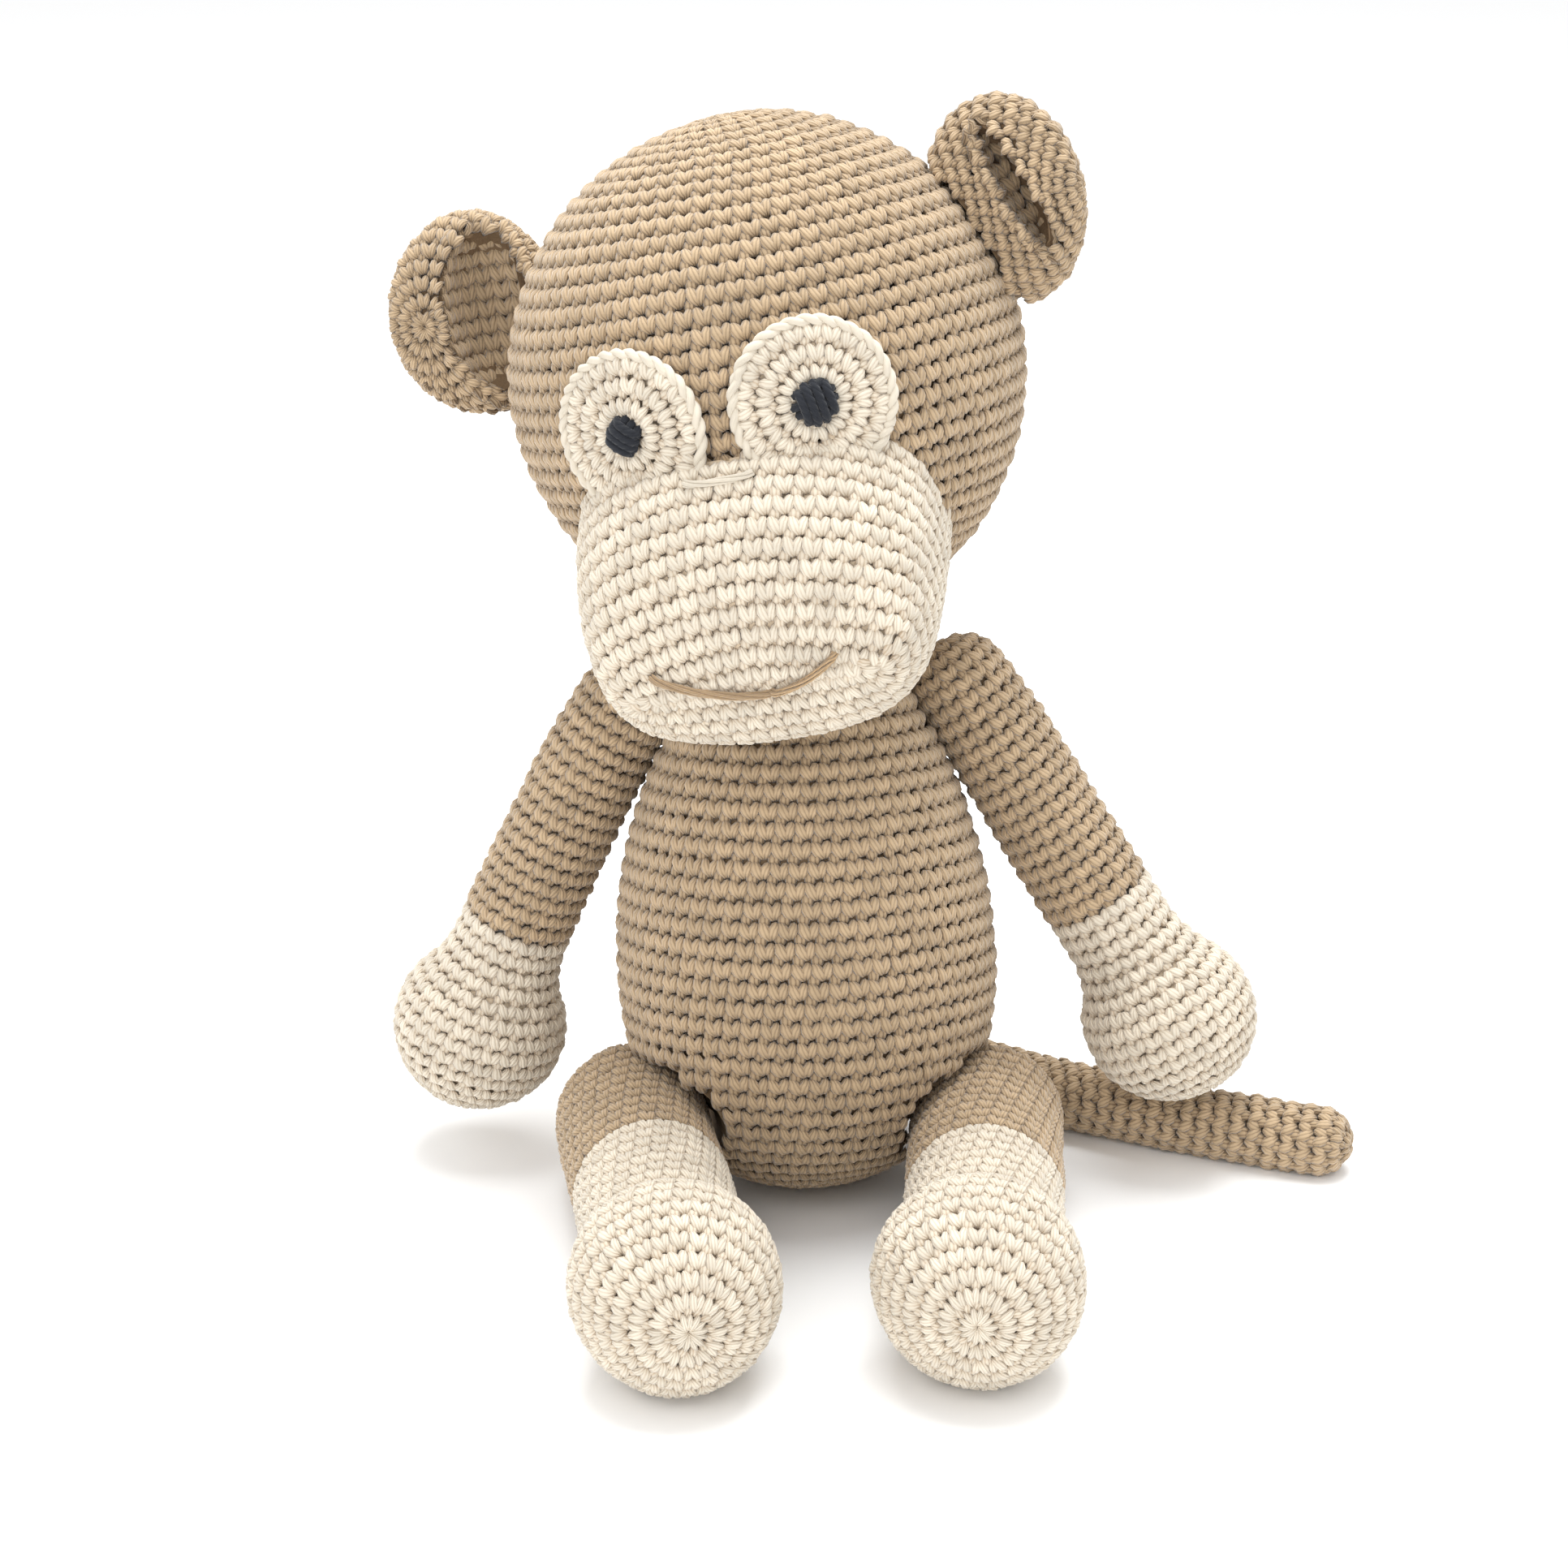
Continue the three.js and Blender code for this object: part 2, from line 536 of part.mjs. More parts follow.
// The cup's room, an oval pressed in from the ear's front
function earCup(place, sign) {
  const share = (place.cupOut / ear.reach - ear.middle) / (1 - ear.middle);
  const front = earPoint(Math.acos(share), Math.PI, sign);
  return new THREE.SphereGeometry(1, ballSides, ballSides / 2)
    .scale(place.cupHalfOut, ear.cupDepth, place.cupHalfUp).rotateY(-sign * rad(place.slant))
    .translate(front.x, front.y, place.cupUp);
}
for (const [name, sign] of [['left', 1], ['right', -1]]) {
  const place = earPlace[name];
  const root = new THREE.Vector3(sign * place.side, place.back, place.up);
  const frame = addFrame(headFrame, root, new THREE.Quaternion());
  const [steps, sides] = [9, 14];
  const rounds = Array.from({ length: steps + 1 }, (_, i) => Array.from({ length: sides }, (__, j) => (
    earPoint(i / steps * rad(ear.capTurn), j / sides * Math.PI * 2, sign))));
  const base = rounds[steps].map(() => new THREE.Vector3(rounds[steps][0].x, 0, 0));
  const cap = solid(skinned([...rounds, base]), frame);
  const cup = solid(earCup(place, sign), frame);
  addPiece(frame, `ear_${name}`, cut(cap, headBall(head.radius + gap), cup), tan);
}

// How far forward the muzzle's surface is at a place across and up it
function muzzleReach(across, up) {
  let [low, high] = [0, Math.PI / 2];
  for (let i = 0; i < 30; i += 1) {
    const turn = (low + high) / 2;
    const edge = muzzlePoint(turn, 0, 0).x;
    const rise = muzzlePoint(turn, up > 0 ? Math.PI / 2 : Math.PI * 1.5, 0).y;
    const power = 2 / muzzle.corners;
    if (Math.abs(across / edge) ** power + Math.abs(up / rise) ** power < 1) low = turn; else high = turn;
  }
  return muzzle.length * Math.sin(low);
}

// Embroidered stitches: yarn laid on the muzzle
const yarnRound = new THREE.Shape().absarc(0, 0, yarn.radius, 0, Math.PI * 2);
const yarnLift = yarn.radius + gap;
function addStitch(name, points, look) {
  const path = new THREE.CatmullRomCurve3(points);
  const tube = new THREE.ExtrudeGeometry(yarnRound, { steps: 8, extrudePath: path, curveSegments: 3 });
  addPiece(muzzleFrame, name, solid(tube, muzzleFrame), look);
}
const mouth = smile.map(([across, up]) => (
  new THREE.Vector3(across, up, muzzleReach(across, up) + yarnLift)));
addStitch('mouth_stitch', mouth, mouthYarn);
const noseStitch = [-1, 0, 1].map((share) => {
  const place = muzzlePoint(rad(yarn.noseTurn), Math.PI / 2, -yarnLift);
  return place.setX(share * yarn.noseHalf);
});
addStitch('nose_stitch', noseStitch, cream);

export default toy;
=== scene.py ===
# A sitting crochet monkey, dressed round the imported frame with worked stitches
import json
import math
import bmesh
import bpy
import numpy as np
from mathutils import Matrix, Vector


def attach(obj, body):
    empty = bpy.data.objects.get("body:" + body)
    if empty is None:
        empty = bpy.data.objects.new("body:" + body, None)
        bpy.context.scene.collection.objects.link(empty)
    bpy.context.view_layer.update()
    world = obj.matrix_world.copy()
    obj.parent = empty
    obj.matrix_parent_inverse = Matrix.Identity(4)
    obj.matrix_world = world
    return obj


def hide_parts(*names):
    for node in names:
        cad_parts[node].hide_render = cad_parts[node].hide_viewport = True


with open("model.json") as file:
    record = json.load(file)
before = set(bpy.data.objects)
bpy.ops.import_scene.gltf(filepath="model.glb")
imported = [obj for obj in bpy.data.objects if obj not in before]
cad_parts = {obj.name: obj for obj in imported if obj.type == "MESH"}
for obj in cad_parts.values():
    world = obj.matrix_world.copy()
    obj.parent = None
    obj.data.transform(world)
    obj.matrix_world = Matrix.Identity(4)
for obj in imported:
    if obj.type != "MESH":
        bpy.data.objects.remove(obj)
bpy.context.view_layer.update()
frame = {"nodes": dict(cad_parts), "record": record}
mm = 0.001
signs = {"left": 1, "right": -1}  # the toy's own left is +X
print("frame loaded:", len(frame["nodes"]), "nodes")


def newThing(name, data):
    thing = bpy.data.objects.new(name, data)
    bpy.context.scene.collection.objects.link(thing)
    return thing


# Camera: where the photograph was taken from
camera = {
    "target": (-5.4, 0.0, 101.47), "distance": 850.0, "elevation": 21.0, "lens": 80.78, "sensor": 36.0,
    "nearest": 0.05, "farthest": 20,
}


def addCamera():
    lift = math.radians(camera["elevation"])
    away = Vector((0, -math.cos(lift), math.sin(lift)))
    data = bpy.data.cameras.new("camera")
    data.lens, data.sensor_width = camera["lens"], camera["sensor"]
    data.clip_start, data.clip_end = camera["nearest"], camera["farthest"]
    eyePoint = newThing("camera", data)
    eyePoint.location = (Vector(camera["target"]) + away * camera["distance"]) * mm
    eyePoint.rotation_euler = away.to_track_quat("Z", "Y").to_euler()
    bpy.context.scene.camera = eyePoint


addCamera()

# Small helpers for turning, placing and measuring


def turnAbout(axis, degrees):
    return np.array(Matrix.Rotation(math.radians(degrees), 3, axis))


def turnTo(direction):
    up = Vector((0, 0, 1))
    return np.array(up.rotation_difference(Vector(direction).normalized()).to_matrix())


def placed(points, turn, origin):
    return points @ turn.T + np.array(origin)


def local(points, turn, origin):
    return (points - np.array(origin)) @ turn


def unit(vectors):
    return vectors / np.maximum(np.linalg.norm(vectors, axis=-1, keepdims=True), 1e-9)


# Distance run along a line, or down every column of a grid
def runAlong(points):
    steps = np.linalg.norm(np.diff(points, axis=0), axis=-1)
    return np.concatenate([np.zeros((1, *steps.shape[1:])), np.cumsum(steps, 0)])


def evenly(points, share):
    run = runAlong(points)
    at = np.clip(share, 0, 1) * run[-1]
    return np.stack([np.interp(at, run, points[:, k]) for k in range(points.shape[1])], -1)


def bezier(points, count=60):
    t = np.linspace(0, 1, count)[:, None]
    points = [np.array(p, float) for p in points]
    while len(points) > 1:
        points = [a * (1 - t) + b * t for a, b in zip(points, points[1:])]
    return points[0]


def arc(radius, height, start, stop, count=40):
    t = np.radians(np.linspace(start, stop, count))
    return np.stack([radius * np.cos(t), height + radius * np.sin(t)], 1)


def throughPoints(points, count=60):
    points = [np.array(p, float) for p in points]
    points = [2 * points[0] - points[1]] + points + [2 * points[-1] - points[-2]]
    made = []
    for p0, p1, p2, p3 in zip(points, points[1:], points[2:], points[3:]):
        d0, d1, d2 = (np.linalg.norm(b - a) ** 0.5 for a, b in ((p0, p1), (p1, p2), (p2, p3)))
        t1 = ((p1 - p0) / d0 - (p2 - p0) / (d0 + d1) + (p2 - p1) / d1) * d1
        t2 = ((p2 - p1) / d1 - (p3 - p1) / (d1 + d2) + (p3 - p2) / d2) * d1
        t = np.linspace(0, 1, count)[:, None]
        made.append(p1 + t1 * t + (3 * p2 - 3 * p1 - 2 * t1 - t2) * t ** 2
                    + (2 * p1 - 2 * p2 + t1 + t2) * t ** 3)
    return np.concatenate([made[0]] + [m[1:] for m in made[1:]])


def smoothStep(low, high, value):
    share = np.clip((value - low) / (high - low), 0, 1)
    return share * share * (3 - 2 * share)


# The toy's own shapes, in millimetres and degrees, the same as in the frame
body = {
    "origin": (1.5251, -12.2819, 0.9928), "leanBack": 13.0, "leanRight": 1.6, "height": 134.6, "topHalf": 20.6,
    "low": [(0, 0), (30.69, 0), (46.5, 22), (46.5, 55)], "high": [(46.5, 55), (46.5, 82.5), (39, 105)],
}
neck = {"below": 4.6, "radius": 17.5, "half": 66}
head = {"radius": 61.5, "origin": (-9.1047, 23.9503, 197.1115), "lean": 8.0, "roll": 11.5, "turn": 10.5}
muzzle = {
    "place": (0, -36, -34), "pitch": 126.0, "length": 45.0, "halfWidth": 42.0, "topHeight": 35.5,
    "bottomHeight": 35.0, "corners": 0.8, "foundationHalf": 24.0, "root": 22.0, "neckClear": 27.0,
    "falls": (0.6, 1.5, 0.5), "domeShare": 0.75,
}
eye = {"radius": 18.5, "lift": 3.3, "left": 21.5, "right": -18.5, "down": 1.5, "edge": 0.6}
ear = {
    "reach": 34.0, "middle": 0.42, "halfHeight": 24.5, "halfThickness": 9.5, "fullness": 0.8, "curl": 10.0,
    "cupDepth": 13.6, "cupFloor": 0.35, "cupEdge": 1.02, "roll": 1.3, "rollAt": 1.12, "rollWidth": 0.16,
    "grid": (220, 180),
    "left": {"place": (49.0, 4.0, 30.0), "poleTurn": 0,
             "cup": {"middle": (18.0, 3.0), "half": (3.9, 16.5), "slant": 22}},
    "right": {"place": (-54.0, 4.0, 26.5), "poleTurn": 58,
              "cup": {"middle": (9.0, 0.0), "half": (10.0, 20.0), "slant": 4}},
}
arm = {
    "rootRadius": 11.0, "midRadius": 13.2, "tipRadius": 21.0, "colourAt": 65.0, "stuffed": 0.5,
    "shoulder": {"wider": 1.0, "out": 1.6, "up": 1.8, "from": 6, "reach": 46.0, "leastRadius": 5},
    "left": {"origin": (37.4488, 17.8751, 119.3943), "splay": (37, 26), "forward": 13, "length": 118.0},
    "right": {"origin": (-41.1613, 17.3812, 117.2548), "splay": (33, 14), "forward": 7, "length": 115.0},
}
leg = {
    "rootRadius": 18.5, "midRadius": 18.5, "tipRadius": 23.8, "colourAt": 43.0, "rise": 6.0, "pass": 48.0,
    "left": {"origin": (44.7746, -13.8426, 18.0), "toeIn": 4.4, "length": 114.0},
    "right": {"origin": (-42.7576, -14.3926, 18.0), "toeIn": 8.2, "length": 117.0},
}
flare = {"angle": 38, "narrowing": (0.2, 0.3), "waist": (0.55, 0.3)}  # where a limb widens into its end
tail = {
    "radius": 8.5, "origin": (10.1270, 35.6934, 14.8044), "bend": (74.0, 17.0), "reach": (136.0, -8.0),
    "sink": 0.5, "leave": [(0, 0, 0), (1.2, 0.8, 0.55), (3, 0.6, 1)], "rootHalf": 65,
    "swing": (-12, 0, 17, 34, 50), "nearRoot": slice(0, 120, 4),
}
bodyTurn = turnAbout("X", -body["leanBack"]) @ turnAbout("Y", -body["leanRight"])
headTurn = turnAbout("Y", -head["roll"]) @ turnAbout("X", -head["lean"]) @ turnAbout("Z", -head["turn"])
neckCentre = placed(np.array([[0, 0, body["height"] - neck["below"]]]), bodyTurn, body["origin"])[0]
muzzleTurn = headTurn @ turnAbout("X", muzzle["pitch"])
muzzleOrigin = placed(np.array([muzzle["place"]], float), headTurn, head["origin"])[0]


def spun(outline, s, a):
    radius, height = evenly(outline, s).T
    return np.stack([radius * np.cos(a), radius * np.sin(a), height], -1)


# A surface gives points at shares s of the way along it and angles a round it
def spunSurface(outline, turn, origin):
    return lambda s, a: placed(spun(outline, s, a), turn, origin)


def bodySurface():
    high = bezier([*body["high"], (body["topHalf"], body["height"])])
    return spunSurface(np.concatenate([bezier(body["low"]), high[1:]]), bodyTurn, body["origin"])


def neckSurface():
    return spunSurface(arc(neck["radius"], 0, -neck["half"], neck["half"], count=60), bodyTurn, neckCentre)


def headSurface():
    return spunSurface(arc(head["radius"], 0, -90, 90, count=120), headTurn, head["origin"])


def muzzlePoint(turn, a, lift=0.0):
    fall = np.cos(turn)
    sideFall, topFall, bottomFall = muzzle["falls"]
    width = (muzzle["halfWidth"] - muzzle["foundationHalf"]) * fall ** sideFall + muzzle["foundationHalf"]
    top, bottom = muzzle["topHeight"] * fall ** topFall, muzzle["bottomHeight"] * fall ** bottomFall
    height = np.where(np.sin(a) >= 0, top, bottom) + lift * fall
    square = lambda c: np.sign(c) * np.abs(c) ** muzzle["corners"]
    forward = (muzzle["length"] + lift) * np.sin(turn)
    return np.stack([(width + lift * fall) * square(np.cos(a)), height * square(np.sin(a)), forward], -1)


def muzzleSurface(s, a):
    dome, foundation = muzzle["domeShare"], np.pi / 2 - 1e-6
    turn = np.pi / 2 * np.clip(1 - s / dome, 0, 1)
    points = muzzlePoint(np.minimum(turn, foundation), a)
    points[..., 2] -= muzzle["root"] * np.clip((s - dome) / (1 - dome), 0, 1)
    return placed(points, muzzleTurn, muzzleOrigin)


def eyeTurn(side):
    across, down = math.radians(eye[side]), math.radians(eye["down"])
    return headTurn @ turnTo((math.sin(across), -math.cos(across), -math.sin(down)))


def eyeSurface(side):
    reach = head["radius"] + eye["lift"]
    widest = math.degrees(math.asin((eye["radius"] - eye["edge"]) / reach))
    return spunSurface(arc(reach, 0, 90, 90 - widest, count=30), eyeTurn(side), head["origin"])


def earThick(turn, around):
    return ear["halfThickness"] * np.sin(turn) ** ear["fullness"] * np.cos(around)


def earCurl(out):
    return ear["curl"] * (out / ear["reach"]) ** 2


# How far back an ear's front face lies, at a place out and up
def earFront(out, high):
    turn = np.arccos(np.clip((out / ear["reach"] - ear["middle"]) / (1 - ear["middle"]), -1, 1))
    around = np.arcsin(np.clip(high / (ear["halfHeight"] * np.maximum(np.sin(turn), 1e-3)), -1, 1))
    return -earThick(turn, around) - earCurl(out)


# How far a place is from the middle of an ear's cup, as a share of the way to its rim
def cupShare(side, out, high):
    cup = ear[side]["cup"]
    slant = math.radians(cup["slant"])
    x, z = out - cup["middle"][0], high - cup["middle"][1]
    across, up = x * math.cos(slant) + z * math.sin(slant), z * math.cos(slant) - x * math.sin(slant)
    return np.hypot(across / cup["half"][0], up / cup["half"][1])


def earPlaced(side, out, back, high):
    points = np.stack([signs[side] * out, back, high], -1) + np.array(ear[side]["place"])
    return placed(points, headTurn, head["origin"])


# The outside of an ear, worked in rounds about a pole on its front
def earSurface(side):
    pole = math.radians(ear[side]["poleTurn"])

    def shape(s, a):
        t = s * np.pi
        x, y, z = np.cos(t), np.sin(t) * np.cos(a), np.sin(t) * np.sin(a)
        x, y = x * math.cos(pole) + y * math.sin(pole), -x * math.sin(pole) + y * math.cos(pole)
        turn, around = np.arccos(np.clip(x, -1, 1)), np.arctan2(z, y)
        out = ear["reach"] * (ear["middle"] + (1 - ear["middle"]) * np.cos(turn))
        high = ear["halfHeight"] * np.sin(turn) * np.sin(around)
        thick = earThick(turn, around)
        fromRim = (cupShare(side, out, high) - ear["rollAt"]) / ear["rollWidth"]
        roll = np.exp(-fromRim ** 2) * (thick < 0)
        return earPlaced(side, out, thick - ear["roll"] * roll - earCurl(out), high)
    return shape


# The inside of its cup, at a share of its half width and of its half height
def cupSpot(side, u, v):
    cup = ear[side]["cup"]
    slant = math.radians(cup["slant"])
    across, up = cup["half"][0] * u, cup["half"][1] * v
    out = cup["middle"][0] + across * math.cos(slant) - up * math.sin(slant)
    high = cup["middle"][1] + across * math.sin(slant) + up * math.cos(slant)
    front, deepest = earFront(out, high), earFront(*cup["middle"]) + ear["cupDepth"]
    deep = np.clip(1 - u ** 2 - v ** 2, 0, 1) ** ear["cupFloor"]
    return earPlaced(side, out, front + (deepest - front) * deep, high)


def openAtCup(points, side):
    p = local(points, headTurn, head["origin"]) - np.array(ear[side]["place"])
    out, high = signs[side] * p[:, 0], p[:, 2]
    return ~((p[:, 1] < -earCurl(out)) & (cupShare(side, out, high) < ear["cupEdge"]))


# A limb's outline, from the middle of its tip to the middle of its root
def limbOutline(size, reach):
    root, mid, tip = size["rootRadius"], size["midRadius"], size["tipRadius"]
    tipAt, angle = reach - tip, math.radians(flare["angle"])
    wide, start = tip * math.cos(angle), tipAt - tip * math.sin(angle)
    waist, pull = (start - tip * share for share in flare["waist"])
    early, late = (tipAt * share for share in flare["narrowing"])
    return np.concatenate([
        arc(root, 0, -90, 0), bezier([(root, 0), (root, early), (mid, late), (mid, waist)])[1:],
        bezier([(mid, waist), (mid, pull), (wide, start)])[1:],
        arc(tip, tipAt, -flare["angle"], 90, count=80)[1:],
    ])[::-1]


# Bends a straight piece along a path
def bent(points, path, across, near=0.004):
    reach = runAlong(path)[-1]
    share = np.clip(points[..., 2] / reach, 0, 1)
    along = unit(evenly(path, share + near) - evenly(path, share - near))
    side = unit(np.cross(np.array(across, float), along))
    other = np.cross(along, side)
    past = (points[..., 2] - share * reach)[..., None]
    return evenly(path, share) + along * past + side * points[..., :1] + other * points[..., 1:2]


def armTurn(side):
    splay, forward = math.radians(arm[side]["splay"][0]), math.radians(arm[side]["forward"])
    return turnTo((signs[side] * math.sin(splay), -math.sin(forward), -math.cos(splay)))


def armSurface(side):
    place, shoulder, turn = arm[side], arm["shoulder"], armTurn(side)
    half, drop = place["length"] / 2, math.radians(place["splay"][0] - place["splay"][1])
    end = (signs[side] * half * math.sin(drop), 0, half * (1 + math.cos(drop)))
    path = bezier([(0, 0, 0), (0, 0, half), end], count=160)
    outline = limbOutline(arm, place["length"])

    def shape(s, a):
        straight = spun(outline, s, a)
        full = 1 - smoothStep(shoulder["from"], shoulder["reach"], straight[..., 2])
        radius = np.maximum(np.hypot(straight[..., 0], straight[..., 1]), shoulder["leastRadius"])
        straight[..., :2] *= (1 + (arm["stuffed"] + shoulder["wider"] * full) / radius)[..., None]
        straight[..., 0] -= signs[side] * shoulder["out"] * full
        straight[..., 2] -= shoulder["up"] * (straight[..., 2] < shoulder["from"]) * full
        return placed(bent(straight, path, (0, 1, 0)), turn, place["origin"])
    return shape


def legTurn(side):
    tip = leg["tipRadius"]
    rise = math.degrees(math.asin((tip - leg["rootRadius"]) / (leg[side]["length"] - tip)))
    return turnAbout("Z", -signs[side] * leg[side]["toeIn"]) @ turnAbout("X", 90 - rise)


def legSurface(side):
    return spunSurface(limbOutline(leg, leg[side]["length"]), legTurn(side), leg[side]["origin"])


def tailPath():
    x, y, z = tail["origin"]
    radius, low = tail["radius"], tail["radius"] - tail["sink"] - z
    near = [(radius * u, radius * v, low * w) for u, v, w in tail["leave"]]
    return throughPoints(near + [(u - x, v - y, low) for u, v in (tail["bend"], tail["reach"])])


def tailSurface(s, a):
    path, radius = tailPath(), tail["radius"]
    tip = arc(radius, runAlong(path)[-1] - radius, 0, 90)
    outline = np.concatenate([arc(radius, 0, -tail["rootHalf"], 0), tip])[::-1]
    return placed(bent(spun(outline, s, a), path, (0, 0, 1)), np.eye(3), tail["origin"])


# Where a neighbour needs room, in millimetres, past the frame's own gap
gap = 0.3
room = {
    "sides": 16, "neckSeat": 0.6, "seat": 0.8, "tailPass": 1.8, "face": 3, "head": 0.2, "neckBelow": 0.5,
    "patch": 2.2, "ear": 0.4, "paint": 3,
}


def seatRadius(radius, margin):
    return (radius + gap) / math.cos(math.pi / room["sides"]) ** 2 + margin


def inBall(points, centre, radius):
    return np.linalg.norm(points - np.array(centre), axis=-1) < radius


def inLegRoom(points, side, margin):
    wide, reach = seatRadius(leg["rootRadius"], margin), leg["pass"] + margin
    p = local(points, legTurn(side), leg[side]["origin"])
    q = p @ turnAbout("X", -leg["rise"])
    swept = (np.abs(p[:, 0]) < wide) & (np.hypot(p[:, 1], p[:, 2]) < reach)
    swept &= (q[:, 1] < 0) & (q[:, 1] > -reach) & (q[:, 2] > -wide) & (q[:, 2] < reach)
    raised = (np.hypot(q[:, 0], q[:, 1]) < wide) & (q[:, 2] > 0) & (q[:, 2] < reach)
    return swept | raised


def inMuzzle(points, margin):
    x, y, z = local(points, muzzleTurn, muzzleOrigin).T
    turn = np.arcsin(np.clip(z / muzzle["length"], 0, 1))
    edge = muzzlePoint(turn, 0.0)[:, 0] - margin
    top = muzzlePoint(turn, np.pi / 2)[:, 1] - margin
    bottom = -muzzlePoint(turn, -np.pi / 2)[:, 1] - margin
    power, least = 2 / muzzle["corners"], 0.1
    high = np.maximum(np.where(y > 0, top, bottom), least)
    shape = (np.abs(x) / np.maximum(edge, least)) ** power + (np.abs(y) / high) ** power
    return (shape < 1) & (z > -muzzle["root"]) & (z < muzzle["length"] - margin)


def inEyes(points, margin):
    found = np.zeros(len(points), bool)
    for side in signs:
        p = local(points, eyeTurn(side), head["origin"])
        found |= (p[:, 2] > 0) & (np.hypot(p[:, 0], p[:, 1]) < eye["radius"] - margin)
    return found


# Where the tail passes as it swings
def nearTail(points, margin):
    near = np.zeros(len(points), bool)
    for swing in tail["swing"]:
        for spot in placed(tailPath()[tail["nearRoot"]], turnAbout("Z", swing), tail["origin"]):
            near |= inBall(points, spot, tail["radius"] + margin)
    return near


def outOfBody(points):
    inside = inBall(points, neckCentre, seatRadius(neck["radius"], room["neckSeat"]))
    inside |= inBall(points, tail["origin"], seatRadius(tail["radius"], room["seat"]))
    inside |= nearTail(points, room["tailPass"])
    for side in signs:
        inside |= inBall(points, arm[side]["origin"], seatRadius(arm["rootRadius"], room["seat"]))
        inside |= inLegRoom(points, side, room["seat"])
    return ~inside


def outOfHead(points):
    inside = inBall(points, neckCentre, seatRadius(neck["radius"], room["seat"]))
    return ~(inside | inMuzzle(points, room["face"]) | inEyes(points, room["face"]))


def outOfMuzzle(points):
    inside = inBall(points, head["origin"], head["radius"] + room["head"])
    return ~(inside | inBall(points, neckCentre, muzzle["neckClear"] + room["neckBelow"]))


def clearOfMuzzle(points):
    return ~inMuzzle(points, room["patch"])


# Yarn: colours, the darker colour painted into grooves and hollows as shade (deep), and how strongly its plies
# and fibres show
tanLook = {"colour": (0.48, 0.352, 0.22), "deep": (0.1, 0.06, 0.031), "plies": 8.0, "twist": 0.2}
creamLook = {"colour": (0.68, 0.61, 0.5), "deep": (0.46, 0.335, 0.215), "plies": 8.0, "twist": 0.2}
blackLook = {"colour": (0.02, 0.022, 0.028), "deep": (0.003, 0.003, 0.004), "plies": 4.0, "twist": 0.6}
mouthLook = {"colour": (0.52, 0.35, 0.19), "deep": (0.16, 0.08, 0.03), "plies": 3.0, "twist": 0.5}
yarnFinish = {"specular": 0.25, "sheenRough": 0.45, "fibres": 2600.0, "fuzz": 0.5, "rub": 0.16, "bump": 0.9}
feltFinish = {"specular": 0.1, "fibres": 1500.0, "rub": 0.1, "rough": 0.88}
# Random tone per stitch and fibre mottle, then painted shade: how much darker lower on a stitch and in the ply
# grooves, and the most it darkens
toneAndShading = {"shade": 0.16, "mottle": 0.3, "sunk": 0.75, "wornSunk": 0.7, "worn": 0.4, "deepest": 0.9}


# Gives sockets their values, or links them
def connect(tree, sockets, values):
    for key, value in values.items():
        if isinstance(value, bpy.types.NodeSocket):
            tree.links.new(value, sockets[key])
        else:
            sockets[key].default_value = value


def addNode(tree, kind, values, **settings):
    node = tree.nodes.new(kind)
    for key, value in settings.items():
        setattr(node, key, value)
    connect(tree, node.inputs, values)
    return node.outputs


def mathNode(tree, operation, *values):
    return addNode(tree, "ShaderNodeMath", dict(enumerate(values)), operation=operation)[0]


def mixNode(tree, factor, first, second, blend="MIX"):
    values = {0: factor, 6: first, 7: second}
    return addNode(tree, "ShaderNodeMix", values, data_type="RGBA", blend_type=blend)[2]


def newTree(name, kind, inputs, outputs):
    tree = bpy.data.node_groups.new(name, kind)
    for way, sockets in (("INPUT", inputs), ("OUTPUT", outputs)):
        for label, form, *value in sockets:
            socket = tree.interface.new_socket(label, in_out=way, socket_type="NodeSocket" + form)
            if value:
                socket.default_value = value[0]
    return tree, tree.nodes.new("NodeGroupInput").outputs, tree.nodes.new("NodeGroupOutput").inputs


# The plies of a yarn, from its run along the strand and its share of the way round
def plyGroup():
    tree, start, end = newTree(
        "plies", "ShaderNodeTree",
        [("Along", "Float", 0), ("Around", "Float", 0), ("Plies", "Float", 5), ("Twist", "Float", 0.4)],
        [("Height", "Float"), ("Groove", "Float")])
    turns = mathNode(tree, "MULTIPLY", start["Along"], start["Twist"])
    phase = mathNode(tree, "MULTIPLY_ADD", start["Around"], start["Plies"], turns)
    wave = mathNode(tree, "ABSOLUTE", mathNode(tree, "SINE", mathNode(tree, "MULTIPLY", phase, math.pi)))
    groove = mathNode(tree, "POWER", mathNode(tree, "SUBTRACT", 1.0, wave), 2.0)
    connect(tree, end, {"Height": wave, "Groove": groove})
    return tree


# Loose cotton fibres over the strand, as a fine height and a faint mottle
def fibreGroup():
    tree, start, end = newTree(
        "fibres", "ShaderNodeTree", [("Position", "Vector", (0, 0, 0)), ("Size", "Float", 900)],
        [("Height", "Float"), ("Mottle", "Float")])
    for label, share, detail in (("Height", 1.0, 3), ("Mottle", 0.055, 2)):
        scale = mathNode(tree, "MULTIPLY", start["Size"], share)
        noise = addNode(tree, "ShaderNodeTexNoise", {
            "Detail": detail, "Vector": start["Position"], "Scale": scale})
        connect(tree, end, {label: noise["Fac"]})
    return tree
